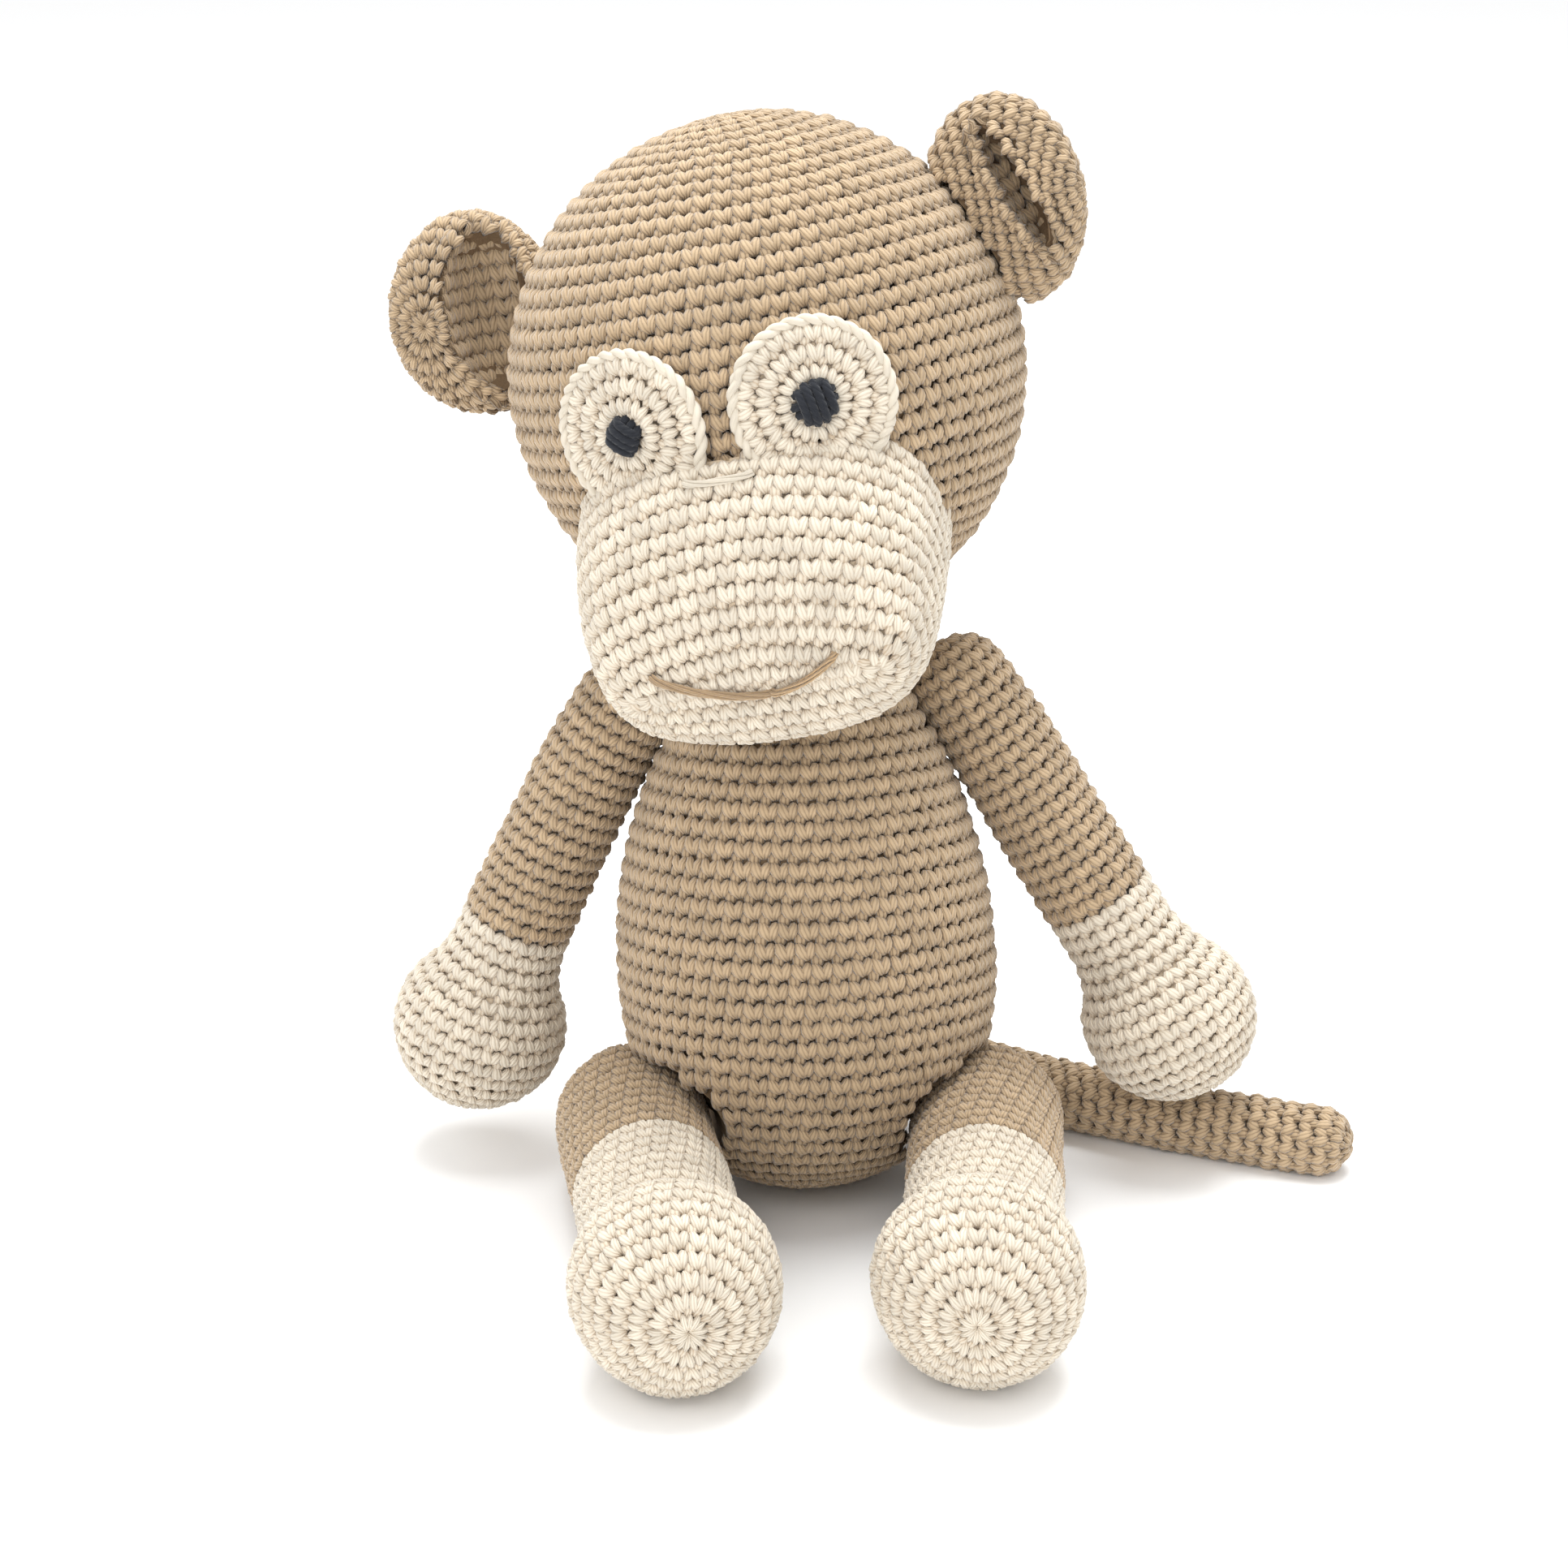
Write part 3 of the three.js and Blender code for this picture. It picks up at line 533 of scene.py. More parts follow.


# Dyed cotton with a random tone per stitch, and painted shade: darker in its grooves and where the strand dips
# under its neighbours
def dyeAndShadeGroup():
    tree, start, end = newTree(
        "dye", "ShaderNodeTree",
        [("Colour", "Color", (1, 1, 1, 1)), ("Deep", "Color", (0, 0, 0, 1)), ("Groove", "Float", 0),
         ("Depth", "Float", 1), ("Shade", "Float", 0.5), ("Mottle", "Float", 0.5)],
        [("Colour", "Color")])
    lift = 1.0
    for label, amount in (("Shade", toneAndShading["shade"]), ("Mottle", toneAndShading["mottle"])):
        lift = mathNode(tree, "MULTIPLY_ADD", mathNode(tree, "SUBTRACT", start[label], 0.5), amount, lift)
    grey = addNode(tree, "ShaderNodeCombineColor", {0: lift, 1: lift, 2: lift})
    dyed = mixNode(tree, 1.0, start["Colour"], grey[0], "MULTIPLY")
    # Painted shade: mixed towards Deep in the ply grooves and lower down on the stitch, more in the grooves
    # the lower they lie
    sunk = mathNode(tree, "SUBTRACT", 1.0, start["Depth"])
    worn = mathNode(tree, "MULTIPLY_ADD", sunk, toneAndShading["wornSunk"], toneAndShading["worn"])
    sunk = mathNode(tree, "MULTIPLY", sunk, toneAndShading["sunk"])
    share = mathNode(tree, "MULTIPLY_ADD", start["Groove"], worn, sunk)
    share = mathNode(tree, "MINIMUM", mathNode(tree, "MAXIMUM", share, 0.0), toneAndShading["deepest"])
    connect(tree, end, {"Colour": mixNode(tree, share, dyed, start["Deep"])})
    return tree


groups = {"plies": plyGroup(), "fibres": fibreGroup(), "dye": dyeAndShadeGroup()}


def useGroup(tree, name, values):
    return addNode(tree, "ShaderNodeGroup", values, node_tree=groups[name])


def newMaterial(name, fibreSize):
    material = bpy.data.materials.new(name)
    material.use_nodes = True
    tree = material.node_tree
    place = addNode(tree, "ShaderNodeTexCoord", {})["Object"]
    fibres = useGroup(tree, "fibres", {"Position": place, "Size": fibreSize})
    return material, tree, tree.nodes["Principled BSDF"].inputs, fibres


def bumpNode(tree, height, relief, strength=1.0):
    values = {"Distance": relief, "Strength": strength, "Height": height}
    return addNode(tree, "ShaderNodeBump", values)[0]


def yarnMaterial(name, look, rough=0.86, sheen=0.35, relief=0.00018):
    finish = yarnFinish
    material, tree, shader, fibres = newMaterial(name, finish["fibres"])
    ply = addNode(tree, "ShaderNodeAttribute", {}, attribute_name="ply")["Vector"]
    parts = addNode(tree, "ShaderNodeSeparateXYZ", {0: ply})
    shade = addNode(tree, "ShaderNodeAttribute", {}, attribute_name="shade")["Fac"]
    plies = useGroup(tree, "plies", {
        "Along": parts[0], "Around": parts[1], "Plies": look["plies"], "Twist": look["twist"]})
    dye = useGroup(tree, "dye", {
        "Colour": look["colour"] + (1,), "Deep": look["deep"] + (1,), "Groove": plies["Groove"],
        "Depth": parts[2], "Shade": shade, "Mottle": fibres["Mottle"]})
    rub = mathNode(tree, "MULTIPLY_ADD", fibres["Mottle"], finish["rub"], rough - finish["rub"] / 2)
    height = mathNode(tree, "MULTIPLY_ADD", fibres["Height"], finish["fuzz"], plies["Height"])
    connect(tree, shader, {
        "Specular IOR Level": finish["specular"], "Sheen Weight": sheen,
        "Sheen Roughness": finish["sheenRough"], "Base Color": dye["Colour"], "Roughness": rub,
        "Normal": bumpNode(tree, height, relief, finish["bump"])})
    return material


# The fabric behind the stitches, coloured dark as painted shade for the gaps between stitches, and the
# filling: no strands of their own to follow
def feltMaterial(name, colour, deep, size=feltFinish["fibres"], relief=0.0003):
    material, tree, shader, fibres = newMaterial(name, size)
    dye = useGroup(tree, "dye", {
        "Colour": colour + (1,), "Deep": deep + (1,), "Groove": fibres["Height"],
        "Mottle": fibres["Mottle"]})
    rub = mathNode(tree, "MULTIPLY_ADD", fibres["Mottle"], feltFinish["rub"], feltFinish["rough"])
    connect(tree, shader, {
        "Specular IOR Level": feltFinish["specular"], "Base Color": dye["Colour"], "Roughness": rub,
        "Normal": bumpNode(tree, fibres["Height"], relief)})
    return material


tanYarn = yarnMaterial("tanYarn", tanLook)
creamYarn = yarnMaterial("creamYarn", creamLook)
creamThread = yarnMaterial("creamThread", {**creamLook, "plies": 3.0, "twist": 0.4}, relief=0.00006)
blackYarn = yarnMaterial("blackYarn", blackLook, 0.9, 0.15)
mouthYarn = yarnMaterial("mouthYarn", mouthLook)
# Linings darker than their yarns: painted shade for the gaps between stitches; tanRoom is a lighter, less
# shaded copy for where a lining lies in the open
tanInside = feltMaterial("tanInside", (0.18, 0.125, 0.075), tanLook["deep"])
tanRoom = feltMaterial("tanRoom", (0.36, 0.265, 0.17), tanLook["deep"])
tanBehind = feltMaterial("tanBehind", (0.2, 0.135, 0.08), tanLook["deep"])
creamInside = feltMaterial("creamInside", (0.72, 0.6, 0.45), creamLook["deep"])
blackInside = feltMaterial("blackInside", (0.006, 0.006, 0.007), (0.001, 0.001, 0.001))
fillWhite = feltMaterial("fillWhite", (0.9, 0.89, 0.87), (0.6, 0.58, 0.55), 420.0, 0.0012)
# Each yarn, the lining colour painted as shade behind it, and its slot name
yarns = {
    "tan": (tanYarn, tanInside, "tan_yarn"), "cream": (creamYarn, creamInside, "cream_yarn"),
    "mouth": (mouthYarn, mouthYarn, "mouth_yarn"), "thread": (creamThread, creamInside, "cream_yarn"),
}
print("materials made")

# One stitch: two lobes that rise from a pit at their foot, and the knot beside it
stitch = {
    "pitch": 4.75, "row": 4.6, "sides": 6, "flat": 0.62, "sink": -0.7, "lean": 0.2, "plump": 1.12,
    "pit": 1.0, "rise": 1.7, "pinch": 0.07, "stray": 0.07, "uneven": 0.025, "wobble": 0.06,
    "sizes": ((0.55, 1.3), (0.6, 1.35)),
    # across and up in stitches, out in mm, half the width in mm
    "lobes": [
        [(-0.52, 0.5, -1.0, 0), (-0.46, 0.35, -0.1, 0.86), (-0.345, 0.12, 0.22, 1.34),
         (-0.18, -0.12, 0.1, 1.32), (0.0, -0.31, -0.4, 0.96), (0.14, -0.48, -1.9, 0)],
        [(0.29, 0.52, -1.0, 0), (0.25, 0.37, -0.1, 0.84), (0.185, 0.13, 0.2, 1.28),
         (0.16, -0.1, 0.06, 1.2), (0.15, -0.3, -0.42, 0.82), (0.15, -0.48, -1.9, 0)],
        [(-0.54, 0.04, -1.7, 0), (-0.51, -0.18, -0.65, 1.3), (-0.44, -0.43, -0.6, 1.5),
         (-0.37, -0.65, -0.9, 1.1), (-0.34, -0.85, -1.8, 0)],
    ],
}
# Strands get a height above 1, so no painted shade darkens their grooves
strand = {"sides": 6, "depth": 1.4}


# The faces of a closed skin: a tip, rounds of so many points each, and a tip
def skinFaces(rounds, count):
    last = 1 + rounds * count
    faces = [(0, 1 + (j + 1) % count, 1 + j) for j in range(count)]
    for first in range(1, last - count, count):
        for j in range(count):
            a, b = first + j, first + (j + 1) % count
            faces.append((a, b, b + count, a + count))
    return faces + [(last, last - count + j, last - count + (j + 1) % count) for j in range(count)]


def lobe(points):
    path = np.array([(x * stitch["pitch"], y * stitch["row"], z) for x, y, z, _ in points])
    radii = np.array([p[3] for p in points]) * stitch["plump"]
    run, sides = runAlong(path), stitch["sides"]
    verts, ply = [path[0]], [(0, 0.5, 0)]
    for k in range(1, len(path) - 1):
        along = unit(path[k + 1] - path[k - 1])
        out = unit(np.array([0, 0, 1]) - along[2] * along)
        side = np.cross(along, out)
        for j in range(sides):
            angle = 2 * math.pi * (j + 0.5) / sides - math.pi / 2
            spot = path[k] + radii[k] * (side * math.cos(angle) + out * math.sin(angle) * stitch["flat"])
            verts.append(spot)
            # The third ply value is the point's height above the pit, which the painted shade darkens lower
            # down
            ply.append((run[k], j / sides, np.clip((spot[2] + stitch["pit"]) / stitch["rise"], 0, 1)))
    return verts + [path[-1]], skinFaces(len(path) - 2, sides), ply + [(run[-1], 0.5, 0)]


def meshFrom(name, verts, faces=(), edges=(), ply=None):
    mesh = bpy.data.meshes.new(name)
    mesh.from_pydata([tuple(v) for v in verts], edges, faces)
    if ply is not None:
        attribute = mesh.attributes.new("ply", "FLOAT_VECTOR", "POINT")
        attribute.data.foreach_set("vector", np.array(ply, np.float32).ravel())
    for polygon in mesh.polygons:
        polygon.use_smooth = True
    mesh.update()
    return newThing(name, mesh)


def outward(mesh):
    shape = bmesh.new()
    shape.from_mesh(mesh)
    bmesh.ops.recalc_face_normals(shape, faces=shape.faces)
    shape.to_mesh(mesh)
    shape.free()


def stitchObject():
    verts, faces, ply = [], [], []
    for points in stitch["lobes"]:
        lobeVerts, lobeFaces, lobePly = lobe(points)
        faces += [tuple(k + len(verts) for k in face) for face in lobeFaces]
        verts += [spot * mm for spot in lobeVerts]
        ply += lobePly
    thing = meshFrom("stitchShape", verts, faces, ply=ply)
    outward(thing.data)
    return thing


def keep(tree, geometry, name, value, kind="FLOAT"):
    values = {"Name": name, "Geometry": geometry, "Value": value}
    return addNode(tree, "GeometryNodeStoreNamedAttribute", values, data_type=kind, domain="POINT")["Geometry"]


def read(tree, name, kind="FLOAT"):
    return addNode(tree, "GeometryNodeInputNamedAttribute", {"Name": name}, data_type=kind)["Attribute"]


def clothed(tree, geometry, yarn):
    real = addNode(tree, "GeometryNodeRealizeInstances", {"Geometry": geometry})["Geometry"]
    return addNode(tree, "GeometryNodeSetMaterial", {"Geometry": real, "Material": yarn})["Geometry"]


# Sets a stitch on every site, turned and sized by the site's own values
def stitchTree():
    tree, start, end = newTree(
        "crochetStitches", "GeometryNodeTree",
        [("Geometry", "Geometry"), ("Stitch", "Object"), ("Yarn", "Material"), ("Wobble", "Float", 0.07),
         ("Seed", "Int", 4)], [("Geometry", "Geometry")])
    seed, randomNode, vectorNode = start["Seed"], "FunctionNodeRandomValue", "ShaderNodeVectorMath"
    shade = addNode(tree, randomNode, {"Seed": seed}, data_type="FLOAT")[1]
    low, high = (
        addNode(tree, vectorNode, {0: (way,) * 3, "Scale": start["Wobble"]}, operation="SCALE")[0]
        for way in (-1, 1))
    wobble = addNode(tree, randomNode, {"Min": low, "Max": high, "Seed": seed}, data_type="FLOAT_VECTOR")[0]
    angles = addNode(tree, "FunctionNodeEulerToRotation", {0: wobble})[0]
    rotate = addNode(tree, "FunctionNodeRotateRotation", {
        0: read(tree, "turn", "QUATERNION"), 1: angles}, rotation_space="LOCAL")[0]
    info = addNode(tree, "GeometryNodeObjectInfo", {"Object": start["Stitch"]})
    spread = addNode(tree, "GeometryNodeInstanceOnPoints", {
        "Points": keep(tree, start["Geometry"], "shade", shade), "Instance": info["Geometry"],
        "Rotation": rotate, "Scale": read(tree, "size", "FLOAT_VECTOR")})
    connect(tree, end, {"Geometry": clothed(tree, spread["Instances"], start["Yarn"])})
    return tree


# Sweeps a round strand along every line of a mesh, and notes where along and round it each point is
def strandTree():
    tree, start, end = newTree(
        "yarnStrands", "GeometryNodeTree",
        [("Geometry", "Geometry"), ("Radius", "Float", 0.0006), ("Yarn", "Material")],
        [("Geometry", "Geometry")])
    lines = addNode(tree, "GeometryNodeMeshToCurve", {"Mesh": start["Geometry"]})
    spot = addNode(tree, "GeometryNodeSplineParameter", {})
    ring = addNode(tree, "GeometryNodeCurvePrimitiveCircle", {
        "Resolution": strand["sides"], "Radius": start["Radius"]})
    sweep = addNode(tree, "GeometryNodeCurveToMesh", {
        "Curve": keep(tree, lines["Curve"], "along", spot["Length"]),
        "Profile Curve": keep(tree, ring["Curve"], "around", spot["Factor"]), "Fill Caps": True})
    along = mathNode(tree, "MULTIPLY", read(tree, "along"), 1 / mm)
    # The strand's fixed height keeps it free of painted shade
    ply = addNode(tree, "ShaderNodeCombineXYZ", {0: along, 1: read(tree, "around"), 2: strand["depth"]})
    full = keep(tree, sweep["Mesh"], "ply", ply[0], "FLOAT_VECTOR")
    smooth = addNode(tree, "GeometryNodeSetShadeSmooth", {"Geometry": full})
    connect(tree, end, {"Geometry": clothed(tree, smooth["Geometry"], start["Yarn"])})
    return tree


trees = {"stitches": stitchTree(), "strands": strandTree()}
stitchShape = stitchObject()


def grown(thing, treeName, values):
    modifier = thing.modifiers.new(treeName, "NODES")
    modifier.node_group = trees[treeName]
    for item in trees[treeName].interface.items_tree:
        if item.item_type == "SOCKET" and item.in_out == "INPUT" and item.name in values:
            modifier[item.identifier] = values[item.name]
    bpy.context.view_layer.update()
    graph = bpy.context.evaluated_depsgraph_get()
    mesh = bpy.data.meshes.new_from_object(
        thing.evaluated_get(graph), preserve_all_data_layers=True, depsgraph=graph)
    thing.modifiers.remove(modifier)
    old = thing.data
    thing.data = mesh
    bpy.data.meshes.remove(old)


def gridOf(surface, shares, columns):
    a = np.tile(np.arange(columns) / columns * 2 * np.pi, len(shares))
    return surface(np.repeat(shares, columns), a).reshape(len(shares), columns, 3)


lumps = {"size": 0.27, "wave": 21.0}


# Resamples a surface so that its rounds are evenly spaced along every meridian
def evenGrid(surface, rows=180, columns=144):
    shares = np.linspace(0, 1, rows + 1)
    grid = gridOf(surface, shares, columns)
    even = np.stack([evenly(grid[:, j], shares) for j in range(columns)], 1)
    waves = np.sin(even[..., [1, 2, 0]] / lumps["wave"] * 2 + even[..., [2, 0, 1]] / lumps["wave"])
    return even + waves * lumps["size"], runAlong(grid)[-1].mean()


def gridAt(grid, s, a):
    rows, columns = grid.shape[0] - 1, grid.shape[1]
    y = np.clip(s, 0, 1) * rows
    x = (a / (2 * np.pi) % 1) * columns
    i, j = np.minimum(y.astype(int), rows - 1), x.astype(int) % columns
    v, u = (y - i)[..., None], (x - np.floor(x))[..., None]
    k = (j + 1) % columns
    low = grid[i, j] * (1 - u) + grid[i, k] * u
    high = grid[i + 1, j] * (1 - u) + grid[i + 1, k] * u
    return low * (1 - v) + high * v


# Stitches a piece is worked in, in millimetres across and up
gauge = {
    "body": (4.8, 4.8), "head": (4.7, 4.8), "muzzle": (4.6, 4.9), "arm": (4.9, 4.1), "leg": (4.4, 4.7),
    "tail": (4.8, 4.6), "ear": (4.0, 3.9), "patch": (5.0, 4.6),
}


# Sites are where stitches go: their places, their sides and fronts, and their sizes
def only(sites, chosen):
    return {key: values[chosen] for key, values in sites.items()}


def together(parts):
    return {key: np.concatenate([part[key] for part in parts]) for key in parts[-1]}


# Places stitches round by round: a round keeps its count until the stitches would stretch or crowd
def stitchSites(worked, kind, first=6, start=0.0):
    grid, length = worked
    wide, tall = gauge[kind]
    nearby, leastGirth = 0.6, 12
    rows = max(2, round(length * (1 - start) / tall))
    shares = np.linspace(start, 1, 2 * rows + 1)
    around = np.linspace(0, 2 * np.pi, 241)
    normals = np.cross(np.roll(grid, -1, 1) - grid, np.gradient(grid, axis=0))
    sign = 1 if np.einsum("ijk,ijk->ij", normals, grid - grid.mean((0, 1))).sum() > 0 else -1
    count, phase, rounds = 0, 0.0, []
    for i in range(rows):
        low, mid, high = shares[2 * i:2 * i + 3]
        lowRun, run, highRun = (runAlong(gridAt(grid, share, around)) for share in (low, mid, high))
        widest = max(lowRun[-1], highRun[-1])
        if count == 0 or abs(widest / count / wide - 1) > stitch["pinch"]:
            count = max(first, round(widest / wide))
        phase += sign * stitch["lean"]
        a = np.interp(((np.arange(count) + phase) / count % 1) * run[-1], run, around)
        small = nearby / max(run[-1], leastGirth) * 2 * np.pi
        across = unit(gridAt(grid, mid, a + small) - gridAt(grid, mid, a - small))
        up = gridAt(grid, high, a) - gridAt(grid, low, a)
        rounds.append({
            "place": gridAt(grid, mid, a), "across": across * sign, "out": unit(np.cross(across, up)) * sign,
            "size": np.stack([np.full(count, run[-1] / count / stitch["pitch"]),
                              np.linalg.norm(up, axis=1) / stitch["row"], np.ones(count)], 1),
            "share": np.full(count, mid),
        })
    return together(rounds)


# The inside of an ear's cup is worked in level rows
cupRows = {"edge": 0.995, "ends": 0.998, "near": 0.02, "wider": 1.2, "taller": 1.3, "samples": 200}


def cupSites(side):
    wide, tall = gauge["ear"]
    near, edge = cupRows["near"], cupRows["edge"]
    v = np.linspace(-edge, edge, cupRows["samples"])
    rise = runAlong(cupSpot(side, 0.0, v))
    rows, sites = round(rise[-1] / tall), []
    for level in np.interp((np.arange(rows) + 0.5) / rows * rise[-1], rise, v):
        reach = math.sqrt(1 - level ** 2) * cupRows["ends"]
        u = np.linspace(-reach, reach, cupRows["samples"])
        run = runAlong(cupSpot(side, u, level))
        count = max(1, round(run[-1] / wide))
        at = np.interp((np.arange(count) + 0.5) / count * run[-1], run, u)
        across = unit(cupSpot(side, at + near, level) - cupSpot(side, at - near, level)) * signs[side]
        up = cupSpot(side, at, level + near) - cupSpot(side, at, level - near)
        size = [cupRows["wider"] * run[-1] / count / stitch["pitch"],
                cupRows["taller"] * rise[-1] / rows / stitch["row"], 1.0]
        sites.append({"place": cupSpot(side, at, level), "across": across, "out": unit(np.cross(across, up)),
                      "size": np.tile(size, (count, 1))})
    return together(sites)


def siteObject(name, sites, seed):
    random = np.random.default_rng(seed)
    across, out, count = sites["across"], sites["out"], len(sites["place"])
    place = sites["place"] + out * stitch["sink"] + random.normal(0, stitch["stray"], (count, 3))
    size = sites["size"] * (1 + random.normal(0, stitch["uneven"], (count, 3)))
    for k, (least, most) in enumerate(stitch["sizes"]):
        size[:, k] = np.clip(size[:, k], least, most)
    turns = np.stack([across, np.cross(out, across), out], 2)
    quats = np.array([Matrix(turn.tolist()).to_quaternion() for turn in turns])
    thing = meshFrom(name, place * mm)
    for label, kind, key, values in (
            ("turn", "QUATERNION", "value", quats), ("size", "FLOAT_VECTOR", "vector", size)):
        attribute = thing.data.attributes.new(label, kind, "POINT")
        attribute.data.foreach_set(key, values.astype(np.float32).ravel())
    return thing


# The fabric behind the stitches, as a closed skin inside the rounds from one share of them to another
lining = {"depth": 1.75, "rows": 46, "columns": 40, "leastRows": 4, "tip": 0.5}


def liningFrom(name, grid, material, start=0.0, stop=1.0):
    rows = max(lining["leastRows"], round(lining["rows"] * (stop - start)))
    shares = np.linspace(start, stop, rows + 1)
    points = gridOf(lambda s, a: gridAt(grid, s, a), shares, lining["columns"])
    across = np.roll(points, -1, 1) - np.roll(points, 1, 1)
    out = unit(np.cross(across, np.gradient(points, axis=0)))
    for end, beside in ((0, 1), (rows, rows - 1)):
        if np.ptp(points[end], axis=0).max() < lining["tip"]:
            out[end] = unit(out[beside].mean(0))
    if (out * (points - grid.mean((0, 1)))).sum() < 0:
        out *= -1
    points = points - out * lining["depth"]
    tips = points[1 if start > 0 else 0].mean(0), points[-2 if stop < 1 else -1].mean(0)
    faces = [(face[0], *face[:0:-1]) for face in skinFaces(rows - 1, lining["columns"])]
    thing = meshFrom(name, [v * mm for v in (tips[0], *points[1:-1].reshape(-1, 3), tips[1])], faces)
    outward(thing.data)
    thing.data.materials.append(material)
    return thing


# One of the frame's own solids, each point moved out along its normal as far as the move says, in mm
def fromFrame(name, node, material, move, longest=None):
    mesh = frame["nodes"][node].data.copy()
    mesh.name = name
    shape = bmesh.new()
    shape.from_mesh(mesh)
    bmesh.ops.remove_doubles(shape, verts=shape.verts, dist=1e-5)
    bmesh.ops.recalc_face_normals(shape, faces=shape.faces)
    if longest:
        bmesh.ops.triangulate(shape, faces=shape.faces)
        edges = [edge for edge in shape.edges if edge.calc_length() > longest]
        bmesh.ops.subdivide_edges(shape, edges=edges, cuts=1)
    shape.normal_update()
    middle = sum((vert.co for vert in shape.verts), Vector()) / len(shape.verts)
    for vert in shape.verts:
        vert.co += vert.normal * move(vert, middle) * mm
    shape.to_mesh(mesh)
    shape.free()
    mesh.materials.clear()
    mesh.materials.append(material)
    return newThing(name, mesh)


# Where neighbours are let into a cover, its lining is the frame's own cover, drawn in from both faces
def backing(name, node, material, depth=1.5, inner=0.7):
    def drawnIn(vert, middle):
        return -depth if vert.normal.dot(vert.co - middle) > 0 else -inner
    return fromFrame(name, node, material, drawnIn)


def joined(name, things):
    first = things[0]
    with bpy.context.temp_override(
            active_object=first, object=first, selected_objects=things, selected_editable_objects=things):
        bpy.ops.object.join()
    first.name = name
    first.data.name = name
    return first


def aboveFloor(thing, level=0.1):
    mesh = thing.data
    places = np.zeros(len(mesh.vertices) * 3, np.float32)
    mesh.vertices.foreach_get("co", places)
    places = places.reshape(-1, 3)
    places[:, 2] = np.maximum(places[:, 2], level * mm)
    mesh.vertices.foreach_set("co", places.ravel())
    mesh.update()


made = []


def finishPiece(thing, bodyName, node):
    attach(thing, bodyName)
    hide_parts(node)
    made.append(thing.name)


# The frame calls a node arm_cover_left, and its piece here is armCoverLeft
def camel(node):
    first, *rest = node.split("_")
    return first + "".join(word.capitalize() for word in rest)


# One crocheted cover: its stitches over its lining, which is coloured dark as painted shade in the gaps
def crochet(node, bodyName, colour, sites, seed, inside=None, extras=()):
    name = camel(node)
    yarn, shadeLining, slotName = yarns[colour]
    stitches = siteObject(name + "Stitches", sites, seed)
    grown(stitches, "stitches", {
        "Stitch": stitchShape, "Yarn": yarn, "Wobble": stitch["wobble"], "Seed": seed})
    piece = joined(name, [stitches, inside or backing(name + "Lining", node, shadeLining), *extras])
    aboveFloor(piece)
    finishPiece(piece, bodyName, node)
    print(name, len(sites["place"]), "stitches")


# Strands of yarn twisted round each other along a path, in millimetres
def twisted(path, look):
    run, along = runAlong(path), unit(np.gradient(path, axis=0))
    side = unit(np.cross(along, np.array([0.31, 0.17, 0.93])))
    other, lines = np.cross(along, side), []
    for k in range(look["strands"]):
        angle = (2 * np.pi * (k / look["strands"] + run / look["lay"]))[:, None]
        lines.append(path + look["offset"] * (side * np.cos(angle) + other * np.sin(angle)))
    return lines


def strandObject(name, lines, radius, material):
    verts, edges = [], []
    for line in lines:
        edges += [(k, k + 1) for k in range(len(verts), len(verts) + len(line) - 1)]
        verts += list(line * mm)
    thing = meshFrom(name, verts, edges=edges)
    grown(thing, "strands", {"Radius": radius * mm, "Yarn": material})
    outward(thing.data)
    return thing


# Body, neck and head
bodySites = stitchSites(evenGrid(bodySurface()), "body")
# The body's lining in the painted-shade colour, with a lighter, less shaded copy where the legs' room leaves
# it in the open
bodyLining = backing("bodyCoverLining", "body_cover", tanInside)
bodyLining.data.materials.append(tanRoom)
for polygon in bodyLining.data.polygons:
    middle = np.array([polygon.center]) / mm
    if any(inLegRoom(middle, side, room["paint"]).any() for side in signs):
        polygon.material_index = 1
crochet("body_cover", "body", "tan", only(bodySites, outOfBody(bodySites["place"])), 11, bodyLining)
crochet("neck_cover", "neck", "tan", stitchSites(evenGrid(neckSurface()), "body", first=10), 12)
headSites = stitchSites(evenGrid(headSurface()), "head")
crochet("head_cover", "head", "tan", only(headSites, outOfHead(headSites["place"])), 13)

# Muzzle, worked round its foundation line
muzzleSites = stitchSites(evenGrid(muzzleSurface), "muzzle", first=18)
crochet("muzzle_cover", "head", "cream", only(muzzleSites, outOfMuzzle(muzzleSites["place"])), 14)


# Limbs: the tan sleeve and the cream end share their rounds and part at the colour change
def limb(kind, end, side, surface, size, seed):
    worked = evenGrid(surface)
    sites = stitchSites(worked, kind)
    outline, share = limbOutline(size, size[side]["length"]), sites["share"]
    tan = evenly(outline, share)[:, 1] < size["colourAt"]
    change = (share[tan].min() + share[~tan].max()) / 2
    for part, colour, chosen, start, stop, number in (
            (kind, "tan", tan, change, 1, seed), (end, "cream", ~tan, 0, change, seed + 1)):
        # Each lining in the painted-shade colour of its yarn
        inside = liningFrom(camel(f"{part}_lining_{side}"), worked[0], yarns[colour][1], start, stop)
        crochet(f"{part}_cover_{side}", f"{kind}_{side}", colour, only(sites, chosen), number, inside)


for side, seed in (("left", 20), ("right", 30)):
    limb("arm", "hand", side, armSurface(side), arm, seed)
    limb("leg", "foot", side, legSurface(side), leg, seed + 4)
tailGrid = evenGrid(tailSurface)
crochet("tail_cover", "tail", "tan", stitchSites(tailGrid, "tail"), 41,
        liningFrom("tailLining", tailGrid[0], tanInside))

